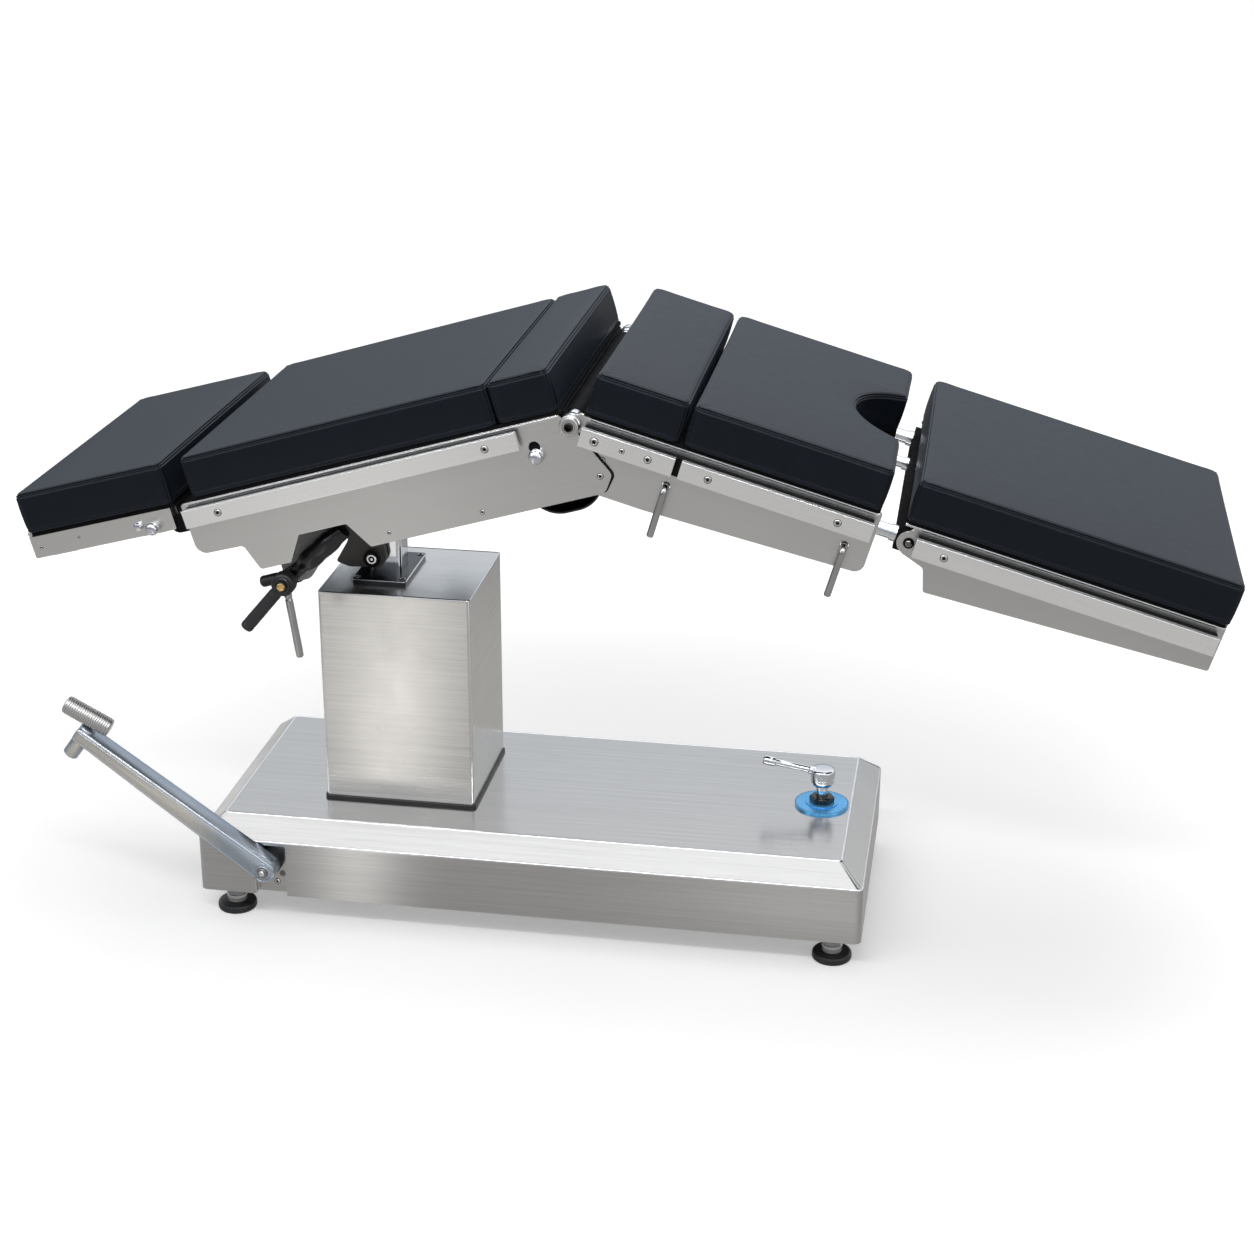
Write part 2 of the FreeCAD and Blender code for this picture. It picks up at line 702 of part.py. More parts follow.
def lock_lever():
    disc = new_piece("lock_disc")
    bore = circles([("lock_x", 0, "lock_nut_radius - 4")])
    slab(disc, "XY_Plane", circles([("lock_x", 0, "lock_disc_radius")]) + bore, "base_top",
         "base_top + lock_disc_height")
    nut = new_piece("lock_nut")
    bottom = "base_top + lock_disc_height"
    rod(nut, along_z, ("lock_x", 0, bottom), "lock_nut_height", "lock_nut_radius")
    rod(nut, along_z, ("lock_x", 0, bottom), "lock_nut_height", "lock_shaft_radius + running_gap", cut=True)
    centre = FreeCAD.Placement(vector("lock_x", 0, 0), FreeCAD.Rotation())
    lever = new_piece("lock_lever", centre)
    hub_top = "lock_hub_bottom + lock_hub_height"
    turning(lever, [(0, "lock_shaft_bottom", 0), ("lock_shaft_radius", "lock_shaft_bottom", 0),
                    ("lock_shaft_radius", "lock_hub_bottom", 0), ("lock_hub_radius - 4", "lock_hub_bottom", 0),
                    ("lock_hub_radius", "lock_hub_bottom + 9", 0), ("lock_hub_radius", f"{hub_top} - 3", 0),
                    ("lock_hub_radius - 4", hub_top, 0), (0, hub_top, 0)])
    arm = doc.addObject("PartDesign::Body", "lock_arm")
    rod(arm, along_x, ("-lock_arm_reach", 0, 0), "lock_arm_reach", "lock_arm_radius")
    rod(arm, along_x, ("-lock_arm_reach - lock_grip_length + 4", 0, 0), "lock_grip_length", "lock_grip_radius")
    arm.Placement = FreeCAD.Placement(vector(0, 0, "lock_hub_bottom + lock_hub_height * 0.74"),
                                      turned_about(along_y, size("lock_arm_rise")))
    joined = lever.newObject("PartDesign::Boolean", "Arm")
    joined.Type = "Fuse"
    joined.setObjects([arm])
    doc.recompute()


# tilting carriage


def carriage():
    middle = tilt_pivot
    plates = new_piece("trunnion_plates", back)
    pivot_x = f"{middle.x:.3f}"
    pivot_z = f"{middle.z:.3f}"
    boss = "trunnion_boss"
    outline = [(f"{pivot_x} + {boss} * 0.9", f"{pivot_z} - {boss}", f"{boss} * 0.85"),
               (f"{pivot_x} + {boss} * 1.1", f"{pivot_z} + {boss} * 0.5", f"{boss} * 0.6"),
               ("-saddle_near", "-saddle_bottom - 6", 3),
               ("-saddle_near", "-saddle_top", 3), ("-saddle_far", "-saddle_top", 3),
               ("-saddle_far + 16", "-saddle_bottom - 22", 12),
               ("-saddle_far - 18", f"{pivot_z} + 8", 4), (f"{pivot_x} - {boss} * 2", f"{pivot_z} - 6", 20)]
    bolt_hole = circles([(pivot_x, pivot_z, "tilt_bolt_radius + running_gap")])
    for side in (-1, 1):
        ends = side_span(side, "trunnion_inner_face", "trunnion_inner_face + trunnion_thickness")
        slab(plates, "XZ_Plane", rounded_curve(outline) + bolt_hole, *ends)
    saddle = new_piece("trunnion_saddle", back)
    block(saddle, ("-saddle_far", "-saddle_near"), ("-trunnion_inner_face", "trunnion_inner_face"),
          ("-saddle_bottom", "-saddle_top"))
    rod(saddle, along_x, ("-saddle_far", 0, "-roll_shaft_drop"), "saddle_far - saddle_near",
        "roll_shaft_radius", cut=True)
    shaft = new_piece("roll_shaft", back)
    rod(shaft, along_x, ("-saddle_far - 12 - roll_shaft_end", 0, "-roll_shaft_drop"),
        "saddle_far + 12 - saddle_near + 2 * roll_shaft_end", "roll_shaft_radius")
    bolt = new_piece("tilt_bolt", facing_front(back, pivot_x, pivot_z))
    outside = "trunnion_inner_face + trunnion_thickness"
    turning(bolt, [(0, f"-({outside}) - 8", 0), ("tilt_bolt_radius + 4", f"-({outside}) - 8", 0),
                   ("tilt_bolt_radius + 4", f"-({outside})", 0), ("tilt_bolt_radius", f"-({outside})", 0),
                   ("tilt_bolt_radius", outside, 0), ("tilt_bolt_radius + 4", outside, 0),
                   ("tilt_bolt_radius + 4", f"{outside} + 8", 0), (0, f"{outside} + 8", 0)])


# sections: shared forms


def cushion(label, frame, start, end, cutout=False):
    body = new_piece(label, frame)
    side = "pad_half_width"
    corner = "pad_corner"
    if cutout:
        # the scoop in the outer end is an arc through its two corners and its deepest point
        low = vector(end, "-cutout_half_width", 0)
        deep = vector(f"{end} - cutout_depth", 0, 0)
        high = vector(end, "cutout_half_width", 0)
        radius = size(corner)
        curves = [Part.Arc(low, deep, high)]
        outline = rounded_curve([(end, "cutout_half_width", 0), (end, side, corner), (start, side, corner),
                                 (start, f"-{side}", corner), (end, f"-{side}", corner),
                                 (end, "-cutout_half_width", 0)])
        across = 2 * size("cutout_half_width")
        curves += [edge for edge in outline if abs(edge.length() - across) > radius / 10]
    else:
        curves = rounded_curve([(start, f"-{side}", corner), (end, f"-{side}", corner),
                                (end, side, corner), (start, side, corner)])
    top = size("pad_top")
    solid = slab(body, "XY_Plane", curves, "pad_bottom", "pad_top")
    bevelled_edges(body, solid, "pad_edge",
                  lambda edge: min(v.Z for v in edge.Vertexes) > top - 0.01)


def deck(body, start, end):
    block(body, (start, end), ("-outer_plate_outside", "outer_plate_outside"), ("plate_top", "deck_top"))


def tube_across(body, start, half_length, width="tube_width"):
    block(body, (start, f"{start} + {width}"), (f"-({half_length})", half_length), ("tube_bottom", "plate_top"))
    block(body, (f"{start} + tube_wall", f"{start} + {width} - tube_wall"), (f"-({half_length})", half_length),
          ("tube_bottom + tube_wall", "plate_top - tube_wall"), cut=True)


def rail_pair(body, start, end, drop, spacers, plate_face):
    for side in (-1, 1):
        block(body, (start, end), side_span(side, "rail_inner_face", "rail_outside"),
              (f"-({drop}) - rail_height / 2", f"rail_height / 2 - ({drop})"))
        for place in spacers:
            low = side_span(side, plate_face, "rail_inner_face")[0]
            rod(body, along_y, (place, low, f"-({drop})"), f"rail_inner_face - ({plate_face})", "spacer_radius")


# back section


def back_plate_outline():
    end = "-back_plate_end"
    return [(end, "plate_top", 4), (end, "-back_end_drop", 18), ("-tail_far", "-back_end_drop - 2", 8),
            ("-tail_near", "4 - back_deep", 6), ("-cutout_far", "4 - back_deep", 4),
            ("-cutout_far + cutout_slant", "-back_shallow", 4), ("-cutout_near - cutout_slant", "-back_shallow", 6),
            ("-cutout_near", "-back_deep", 5), ("nose_reach - 18", "-back_deep", 16),
            ("nose_reach", "-nose_drop", 10), ("boss_radius / 2", "-boss_radius", 2),
            ("-boss_radius * 0.9", "plate_top", 3)]


def back_plates():
    for label, side in (("back_plate_front", -1), ("back_plate_rear", 1)):
        body = new_piece(label, back)
        layer = side_span(side, "outer_plate_face", "outer_plate_outside")
        slab(body, "XZ_Plane", rounded_curve(back_plate_outline()), *layer)
        rod(body, along_y, (0, layer[0], 0), "plate_thickness", "boss_radius")
        rod(body, along_y, (0, layer[0], 0), "plate_thickness", "pin_radius", cut=True)
        if side < 0:
            bottom = "-catch_drop - catch_neck_radius - seat_gap"
            slot = oblong("-catch_x", f"({bottom} - catch_drop + catch_travel) / 2",
                          "2 * catch_neck_radius + 2 * seat_gap",
                          "catch_travel + catch_neck_radius + seat_gap", "catch_neck_radius")
            slab(body, "XZ_Plane", rounded_curve(slot), *layer, cut=True)
            rod(body, along_y, ("-catch_x", layer[0], "catch_travel - catch_drop"), "plate_thickness",
                "keyhole_radius", cut=True)


def hanger(body, middle):
    # a plate across the table, from the cross tube down to its bearing on the roll shaft
    drop = "-roll_shaft_drop"
    wide = "hanger_round * 1.6"
    outline = [(f"-({wide})", "tube_bottom", 0), (f"-({wide})", "tube_bottom - 12", 4),
               ("-hanger_round", f"{drop} + 4", 10), ("-hanger_round", f"{drop} - hanger_round", "hanger_round * 0.9"),
               ("hanger_round", f"{drop} - hanger_round", "hanger_round * 0.9"), ("hanger_round", f"{drop} + 4", 10),
               (wide, "tube_bottom - 12", 4), (wide, "tube_bottom", 0)]
    bore = circles([(0, drop, "roll_shaft_radius + running_gap")])
    slab(body, "YZ_Plane", rounded_curve(outline) + bore, f"-{middle} - hanger_thickness / 2",
         f"-{middle} + hanger_thickness / 2")


def back_frame():
    body = new_piece("back_frame", back)
    inside = "outer_plate_face"
    tube_across(body, "-kidney_tube_start - tube_width", inside)
    tube_across(body, "-hanger_near - tube_width / 2 - hanger_tube_shift", inside)
    tube_across(body, "-hanger_far - tube_width / 2", inside)
    tube_across(body, "-head_tube_start - tube_width", inside)
    hanger(body, "hanger_near")
    hanger(body, "hanger_far")
    for side in (-1, 1):
        place = f"{side} * lift_rod_offset"
        rod(body, along_z, ("-(kidney_start + kidney_end) / 2", place, "-sleeve_bottom"),
            "sleeve_bottom + plate_top - 5", "sleeve_radius")
        rod(body, along_z, ("-(kidney_start + kidney_end) / 2", place, "-sleeve_bottom"),
            "sleeve_bottom + plate_top - 5", "lift_rod_radius + running_gap", cut=True)
        place = f"{side} * head_rod_offset"
        rod(body, along_x, ("-back_plate_end", place, "-head_pivot_drop"),
            "back_plate_end - head_socket_start", "head_socket_radius")
        rod(body, along_x, ("-back_plate_end", place, "-head_pivot_drop"),
            "back_plate_end - head_socket_start", "head_rod_radius + running_gap", cut=True)


def back_section():
    back_plates()
    back_frame()
    sheet_metal = new_piece("back_deck", back)
    deck(sheet_metal, "-back_pad_end", "-back_pad_start")
    cushion("back_pad", back, "-back_pad_end", "-back_pad_start")
    rails = new_piece("back_rails", back)
    rail_pair(rails, "-back_rail_end", "-back_rail_start", "back_rail_drop",
              ("-back_spacer_near", "-back_spacer_far"), "outer_plate_outside")
    pins = new_piece("break_pins", back)
    for side in (-1, 1):
        shank = side_span(side, "pin_inner_end", "outer_plate_outside")
        rod(pins, along_y, (0, shank[0], 0), "outer_plate_outside - pin_inner_end", "pin_radius")
        knob = side_span(side, "outer_plate_outside", "pin_head_face")
        rod(pins, along_y, (0, knob[0], 0), "pin_head_height", "pin_head_radius")
    rod(pins, along_y, (0, "-pin_head_face", 0), "pin_head_face - pin_inner_end",
        "socket_shaft_radius + running_gap", cut=True)


def kidney_bridge():
    trough = new_piece("kidney_trough", back)
    left = "-kidney_tube_start - tube_width - trough_wall"
    deep = "-trough_deep"
    outer = [(left, "tube_bottom + 10", 0), (left, deep, "trough_round"), ("trough_end", deep, "trough_round"),
             ("trough_end", "-pin_head_radius * 2", 0)]
    wall = "trough_wall"
    hollow = [("trough_end - trough_wall", "-pin_head_radius * 2", 0),
              ("trough_end - trough_wall", f"{deep} + {wall}", "trough_round - trough_wall"),
              (f"{left} + {wall}", f"{deep} + {wall}", "trough_round - trough_wall"),
              (f"{left} + {wall}", "tube_bottom + 10", 0)]
    half = "trough_half_width"
    slab(trough, "XZ_Plane", rounded_curve(outer + hollow), f"-{half}", half)
    plate = new_piece("kidney_plate", back)
    deck(plate, "-kidney_end", "-kidney_start")
    rods = new_piece("kidney_rods", back)
    for side in (-1, 1):
        rod(rods, along_z, ("-(kidney_start + kidney_end) / 2", f"{side} * lift_rod_offset", "-lift_rod_bottom"),
            "lift_rod_bottom + plate_top", "lift_rod_radius")
    cushion("kidney_pad", back, "-kidney_end", "-kidney_start")


def crank_socket():
    # a spindle through the hollow pivot pin, with a hexagon in its outer end for the crank
    body = new_piece("crank_socket", facing_front(back, 0, 0))
    turning(body, [(0, "socket_inner_end", 0), ("pin_radius", "socket_inner_end", 0),
                   ("pin_radius", "pin_inner_end - seat_gap", 0),
                   ("socket_shaft_radius", "pin_inner_end - seat_gap", 0),
                   ("socket_shaft_radius", "pin_head_face + 2", 0), (0, "pin_head_face + 2", 0)])
    corner = size("hex_width") / 2 / math.cos(math.pi / 6)
    hexagon = [(corner * math.cos(k * math.pi / 3), corner * math.sin(k * math.pi / 3), 0) for k in range(6)]
    slab(body, "XY_Plane", rounded_curve(hexagon), "pin_head_face + 2 - hex_depth", "pin_head_face + 2", cut=True)


def catch_knob():
    body = new_piece("catch_knob", facing_front(back, "-catch_x", "-catch_drop"))
    face = "outer_plate_outside + seat_gap"
    inside = "outer_plate_face - seat_gap"
    turning(body, [(0, f"{inside} - 5", 0), ("keyhole_radius - 1", f"{inside} - 5", 0),
                   ("keyhole_radius - 1", inside, 0), ("catch_neck_radius", inside, 0),
                   ("catch_neck_radius", face, 0), ("catch_radius - 1", face, 0),
                   ("catch_radius", f"{face} + 5", 0), ("catch_radius - 2", "rail_outside - 4", 0),
                   ("catch_radius / 2", "rail_outside - 0.5", 0), (0, "rail_outside - 0.5", 0)])


# control levers under the back section


def lever_group():
    bracket = new_piece("lever_bracket", back)
    x = "-lever_x"
    z = "-lever_drop"
    round_end = "lever_housing_radius + 4"
    outline = [("-hanger_far + 5", "tube_bottom", 0), (f"{x} - {round_end}", f"{z} + 20", 12),
               (f"{x} - {round_end}", f"{z} - {round_end}", round_end),
               (f"{x} + {round_end}", f"{z} - {round_end}", 16), ("-hanger_near - 14", "-back_shallow - 28", 34),
               ("-hanger_near - 14", "tube_bottom", 0)]
    layer = ("-lever_plate_face", "lever_plate_thickness - lever_plate_face")
    slab(bracket, "XZ_Plane", rounded_curve(outline), *layer)
    rod(bracket, along_y, (x, layer[0], z), "lever_plate_thickness", "lever_shaft_radius + running_gap", cut=True)
    shaft = new_piece("lever_shaft", facing_front(back, x, z))
    turning(shaft, [(0, "lever_housing_end", 0), ("lever_housing_radius", "lever_housing_end", 0),
                    ("lever_housing_radius", "lever_plate_face - lever_plate_thickness", 0),
                    ("lever_shaft_radius", "lever_plate_face - lever_plate_thickness", 0),
                    ("lever_shaft_radius", "lever_shaft_front", 0), (0, "lever_shaft_front", 0)])


def lever_frame(degrees):
    # a frame on the lever shaft whose own -X axis runs along the lever
    return back * FreeCAD.Placement(vector("-lever_x", 0, "-lever_drop"), turned_about(along_y, degrees))


def control_levers():
    bore = "lever_shaft_radius + running_gap"
    handle = new_piece("tilt_handle", lever_frame(-size("tilt_handle_slope")))
    hub = "tilt_handle_radius"
    tip = "tilt_handle_tip"
    ends = ("-tilt_handle_front", "tilt_handle_depth - tilt_handle_front")
    outline = [(hub, f"-{hub} * 1.02", f"{hub} * 0.95"), (hub, f"{hub} * 1.02", f"{hub} * 0.95"),
               ("-tilt_handle_reach", tip, f"{tip} * 0.8"), ("-tilt_handle_reach", f"-{tip}", f"{tip} * 0.8")]
    grip = slab(handle, "XZ_Plane", rounded_curve(outline) + circles([(0, 0, bore)]), *ends)
    bevelled_edges(handle, grip, 3, lambda edge: edge.Length > size("tilt_handle_reach") * 0.6)
    release = new_piece("release_rod", lever_frame(size("release_lean") - 90))
    rod(release, along_y, (0, "-release_front", 0), "release_depth", "release_hub_radius")
    rod(release, along_x, ("-release_reach", "release_depth / 2 - release_front", "release_side"),
        "release_reach", "release_radius")
    rod(release, along_y, (0, "-release_front", 0), "release_depth", bore, cut=True)
    short = new_piece("short_grip", lever_frame(0))
    rod(short, along_y, (0, "-grip_front", 0), "grip_depth", "release_hub_radius")
    rod(short, along_x, ("-grip_reach", "grip_depth / 2 - grip_front", 0), "grip_reach", "grip_radius - 2")
    rod(short, along_x, ("-grip_reach", "grip_depth / 2 - grip_front", 0), "grip_reach * 0.62", "grip_radius")
    rod(short, along_y, (0, "-grip_front", 0), "grip_depth", bore, cut=True)


# seat section


def seat_plates():
    outline = [("-boss_radius * 0.4", "boss_radius * 0.7", 2), ("boss_radius * 0.6", "plate_top", 3),
               ("seat_plate_end", "plate_top", 4), ("seat_plate_end", "-seat_end_depth", 16),
               ("seat_front_end - 20", "-seat_front_depth", 8), ("seat_plate_near", "-seat_front_depth", 20),
               ("-boss_radius * 0.7", "-boss_radius * 0.8", 2)]
    levers = circles([(place, "-seat_lever_drop", "seat_lever_radius + 1 + running_gap")
                      for place in ("seat_lever_near", "seat_lever_far")])
    for label, side in (("seat_plate_front", -1), ("seat_plate_rear", 1)):
        body = new_piece(label, seat)
        layer = side_span(side, "inner_plate_face", "inner_plate_outside")
        holes = levers if side < 0 else []
        slab(body, "XZ_Plane", rounded_curve(outline) + holes, *layer)
        rod(body, along_y, (0, layer[0], 0), "plate_thickness", "boss_radius")
        rod(body, along_y, (0, layer[0], 0), "plate_thickness", "pin_radius + running_gap", cut=True)


def seat_frame():
    body = new_piece("seat_frame", seat)
    inside = "inner_plate_face"
    for start in ("seat_tube_near", "seat_tube_middle", "seat_tube_far"):
        tube_across(body, start, inside)
    for start, end in (("seat_front_start", "seat_front_end"), ("seat_pad_start", "seat_pad_end")):
        block(body, (start, end), ("-inner_plate_outside", "inner_plate_outside"), ("plate_top", "deck_top"))
    low = vector("seat_pad_end", "-cutout_half_width", 0)
    deep = vector("seat_pad_end - cutout_depth", 0, 0)
    high = vector("seat_pad_end", "cutout_half_width", 0)
    scoop = [Part.Arc(low, deep, high), Part.LineSegment(high, low)]
    slab(body, "XY_Plane", scoop, "plate_top", "deck_top", cut=True)
    for place, radius in (("-leg_pin_offset", "leg_pin_radius"), ("leg_pin_offset", "leg_pin_radius"),
                          ("guide_pin_offset", "guide_pin_radius")):
        rod(body, along_x, ("pin_socket_start", place, "-leg_pin_drop"), "seat_plate_end - pin_socket_start",
            f"{radius} + pin_socket_wall")
        rod(body, along_x, ("pin_socket_start", place, "-leg_pin_drop"), "seat_plate_end - pin_socket_start",
            f"{radius} + running_gap", cut=True)


def seat_section():
    seat_plates()
    seat_frame()
    cushion("seat_front_pad", seat, "seat_front_start", "seat_front_end")
    cushion("seat_pad", seat, "seat_pad_start", "seat_pad_end", cutout=True)
    rails = new_piece("seat_rails", seat)
    rail_pair(rails, "short_rail_start", "short_rail_end", "seat_rail_drop",
              ("short_rail_start + 43", "short_rail_end - 39"), "inner_plate_outside")
    rail_pair(rails, "long_rail_start", "long_rail_end", "seat_rail_drop",
              ("long_rail_start + 44", "long_rail_end - 53"), "inner_plate_outside")
    for label, place in (("seat_lever_near", "seat_lever_near"), ("seat_lever_far", "seat_lever_far")):
        lever = new_piece(label, seat)
        rod(lever, along_y, (place, "-seat_lever_line - seat_lever_radius", "-seat_lever_drop"),
            "seat_lever_line + seat_lever_radius - seat_lever_inner", "seat_lever_radius + 1")
        rod(lever, along_z, (place, "-seat_lever_line", "-seat_lever_drop - seat_lever_reach"),
            "seat_lever_reach", "seat_lever_radius")


# leg section


def leg_carrier():
    pins = new_piece("leg_pins", seat)
    for place, radius in (("-leg_pin_offset", "leg_pin_radius"), ("leg_pin_offset", "leg_pin_radius"),
                          ("guide_pin_offset", "guide_pin_radius")):
        rod(pins, along_x, ("leg_pin_start", place, "-leg_pin_drop"), "leg_bar_near - leg_pin_start", radius)
        rod(pins, along_x, ("leg_bar_near - 9", place, "-leg_pin_drop"), 9, f"{radius} + 2")
    bar = new_piece("leg_bar", seat)
    block(bar, ("leg_bar_near", "leg_pivot"), ("1 - inner_plate_face", "inner_plate_face - 1"),
          ("-leg_pin_drop - leg_bar_height / 2", "leg_bar_height / 2 - leg_pin_drop"))
    rod(bar, along_y, ("leg_pivot", "1 - inner_plate_face", "-leg_pin_drop"), "2 * inner_plate_face - 2",
        "leg_bar_nose")
    rod(bar, along_y, ("leg_pivot", "-inner_plate_outside - 2", "-leg_pin_drop"), "2 * inner_plate_outside + 4",
        "leg_stud_radius")


def leg_section():
    frame = new_piece("leg_frame", leg)
    ear = "leg_ear_radius"
    outline = [(f"leg_pivot + {ear} * 0.4", "plate_top", 3), ("leg_plate_end", "plate_top", 3),
               ("leg_plate_end", "-leg_box_shallow", 4), ("leg_box_near", "-leg_box_deep", 5),
               ("leg_box_near - 12", "-leg_box_deep / 2 - 2", 8), (f"leg_pivot - {ear} * 0.3", f"-leg_pin_drop - {ear}", 2),
               (f"leg_pivot - {ear} * 0.7", "0", 2)]
    for side in (-1, 1):
        layer = side_span(side, "inner_plate_face", "inner_plate_outside")
        slab(frame, "XZ_Plane", rounded_curve(outline), *layer)
        rod(frame, along_y, ("leg_pivot", layer[0], "-leg_pin_drop"), "plate_thickness", ear)
        rod(frame, along_y, ("leg_pivot", layer[0], "-leg_pin_drop"), "plate_thickness",
            "leg_stud_radius + running_gap", cut=True)
    tube_across(frame, "leg_tube_near", "inner_plate_face")
    tube_across(frame, "leg_tube_far", "inner_plate_face")
    block(frame, ("leg_start + 4", "leg_plate_end"), ("-inner_plate_outside", "inner_plate_outside"),
          ("plate_top", "deck_top"))
    cushion("leg_pad", leg, "leg_start", "leg_end")
    rails = new_piece("leg_rails", leg)
    rail_pair(rails, "leg_rail_start", "leg_rail_end", "seat_rail_drop",
              ("leg_rail_start + 46", "leg_rail_end - 50"), "inner_plate_outside")


# head section


def head_carrier():
    bar = new_piece("head_bar", back)
    pivot = "-head_pivot"
    drop = "-head_pivot_drop"
    half = "head_bar_half_height"
    block(bar, (pivot, "-head_bar_near"), ("2 - inner_plate_face", "inner_plate_face - 2"),
          (f"{drop} - {half}", f"{drop} + {half}"))
    rod(bar, along_y, (pivot, "2 - inner_plate_face", drop), "2 * inner_plate_face - 4", half)
    for side in (-1, 1):
        gap = side_span(side, "head_ear_inner - 1", "head_ear_outer + 1")
        block(bar, (f"{pivot} - {half}", f"{pivot} + head_ear_radius + 1.5"), gap,
              (f"{drop} - {half}", f"{drop} + {half}"), cut=True)
        place = f"{side} * head_rod_offset"
        rod(bar, along_x, ("-head_bar_near", place, drop), "head_bar_near - head_rod_start", "head_rod_radius")
        pin = side_span(side, "head_ear_inner - 1", "head_ear_outer + 1")
        rod(bar, along_y, (pivot, pin[0], drop), "head_ear_outer - head_ear_inner + 2", "head_pin_radius")


def head_section():
    frame = new_piece("head_frame", head)
    outline = [("-head_plate_start", "plate_top", 3), ("-head_plate_start", "-head_plate_drop", 3),
               ("-head_plate_end", "-head_plate_drop", 3), ("-head_plate_end", "plate_top", 3)]
    knob_hole = circles([("-head_knob_x", "-head_knob_drop", "5 + running_gap")])
    for side in (-1, 1):
        layer = side_span(side, "inner_plate_face", "inner_plate_outside")
        slab(frame, "XZ_Plane", rounded_curve(outline) + (knob_hole if side < 0 else []), *layer)
        ear = side_span(side, "head_ear_inner", "head_ear_outer")
        block(frame, ("-head_tube_near - tube_wall", "-head_pivot"), ear, ("-head_pivot_drop", "plate_top"))
        rod(frame, along_y, ("-head_pivot", ear[0], "-head_pivot_drop"), "head_ear_outer - head_ear_inner",
            "head_ear_radius")
        rod(frame, along_y, ("-head_pivot", ear[0], "-head_pivot_drop"), "head_ear_outer - head_ear_inner",
            "head_pin_radius + running_gap", cut=True)
    tube_across(frame, "-head_tube_near - tube_width", "inner_plate_face")
    tube_across(frame, "-head_tube_far - tube_width / 2", "inner_plate_face")
    block(frame, ("-head_plate_end", "-head_pad_start - 4"), ("-inner_plate_outside", "inner_plate_outside"),
          ("plate_top", "deck_top"))
    cushion("head_pad", head, "-head_pad_end", "-head_pad_start")
    knob = new_piece("head_knob", facing_front(head, "-head_knob_x", "-head_knob_drop"))
    face = "inner_plate_outside + seat_gap"
    turning(knob, [(0, "inner_plate_face - 4", 0), (5, "inner_plate_face - 4", 0), (5, face, 0),
                   ("head_knob_radius", face, 0), ("head_knob_radius", f"{face} + head_knob_height - 6", 0),
                   ("head_knob_radius / 2", f"{face} + head_knob_height", 0),
                   (0, f"{face} + head_knob_height", 0)])


def write_parts():
    doc.recompute()
    for body, frame in pieces:
        body.Placement = frame
    doc.recompute()
    for item in doc.Objects:
        if "Invalid" in item.State or "Error" in item.State:
            raise RuntimeError(f"{item.Label} did not build")
    for body, _ in pieces:
        if body.Shape.isNull() or not body.Shape.isValid():
            raise RuntimeError(f"{body.Label} has no valid shape")
    os.makedirs("parts", exist_ok=True)
    for body, _ in pieces:
        body.Shape.exportStep(f"parts/{body.Label}.step")
    print(len(pieces), "pieces")


base_cover()
base_chassis()
feet()
column()
lift()
pump_pedal()
lock_lever()
carriage()
back_section()
kidney_bridge()
crank_socket()
catch_knob()
lever_group()
control_levers()
seat_section()
leg_carrier()
leg_section()
head_carrier()
head_section()
write_parts()
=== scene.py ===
# Operating table: a padded top in five sections on a hydraulic column and a covered steel base.
# Metres, +X towards the leg end, +Y away from the pedal side, +Z up from the floor.
import math
import json
import bpy
import bmesh
import numpy as np
from mathutils import Matrix

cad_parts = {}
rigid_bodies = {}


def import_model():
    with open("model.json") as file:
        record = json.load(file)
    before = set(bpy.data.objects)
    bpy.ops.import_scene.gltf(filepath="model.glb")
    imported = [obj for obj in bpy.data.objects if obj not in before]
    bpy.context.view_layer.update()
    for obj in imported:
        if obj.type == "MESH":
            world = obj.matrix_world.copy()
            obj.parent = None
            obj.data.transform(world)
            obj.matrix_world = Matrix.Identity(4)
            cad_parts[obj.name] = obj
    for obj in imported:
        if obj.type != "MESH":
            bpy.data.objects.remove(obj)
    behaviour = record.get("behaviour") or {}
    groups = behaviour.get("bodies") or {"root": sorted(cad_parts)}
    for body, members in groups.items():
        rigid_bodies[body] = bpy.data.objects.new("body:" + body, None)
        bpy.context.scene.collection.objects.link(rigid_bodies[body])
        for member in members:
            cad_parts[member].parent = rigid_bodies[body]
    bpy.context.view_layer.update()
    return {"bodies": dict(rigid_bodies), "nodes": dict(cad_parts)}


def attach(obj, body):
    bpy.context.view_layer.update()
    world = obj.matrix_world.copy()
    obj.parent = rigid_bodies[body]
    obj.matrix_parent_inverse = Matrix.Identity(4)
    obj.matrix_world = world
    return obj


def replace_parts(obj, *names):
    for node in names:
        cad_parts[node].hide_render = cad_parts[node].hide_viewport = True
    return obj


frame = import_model()
bodies = frame["bodies"]
nodes = frame["nodes"]
print("frame loaded,", len(nodes), "nodes")

mm = 0.001
baseLeft, baseLong, baseHalf, baseTop = -692.44, 1100.0, 235.0, 179.0
postX = baseLeft + 280
seatPlateFace, backPlateFace, railFace = 264.0, 271.0, 290.0


# ---------- places on the table ----------
# A section is measured flat from the break hinge: x along the table, y across it and z square to it.

def turnAboutY(degrees, x=0.0, z=0.0):
    # a turn about a line across the table through (x, z)
    c = math.cos(math.radians(degrees))
    s = math.sin(math.radians(degrees))
    turn = np.eye(4)
    turn[0, 0], turn[0, 2], turn[2, 0], turn[2, 2] = c, s, -s, c
    away = np.eye(4)
    away[0, 3], away[2, 3] = x, z
    back = np.eye(4)
    back[0, 3], back[2, 3] = -x, -z
    return away @ turn @ back


def shift(x, y, z):
    move = np.eye(4)
    move[:3, 3] = x, y, z
    return move


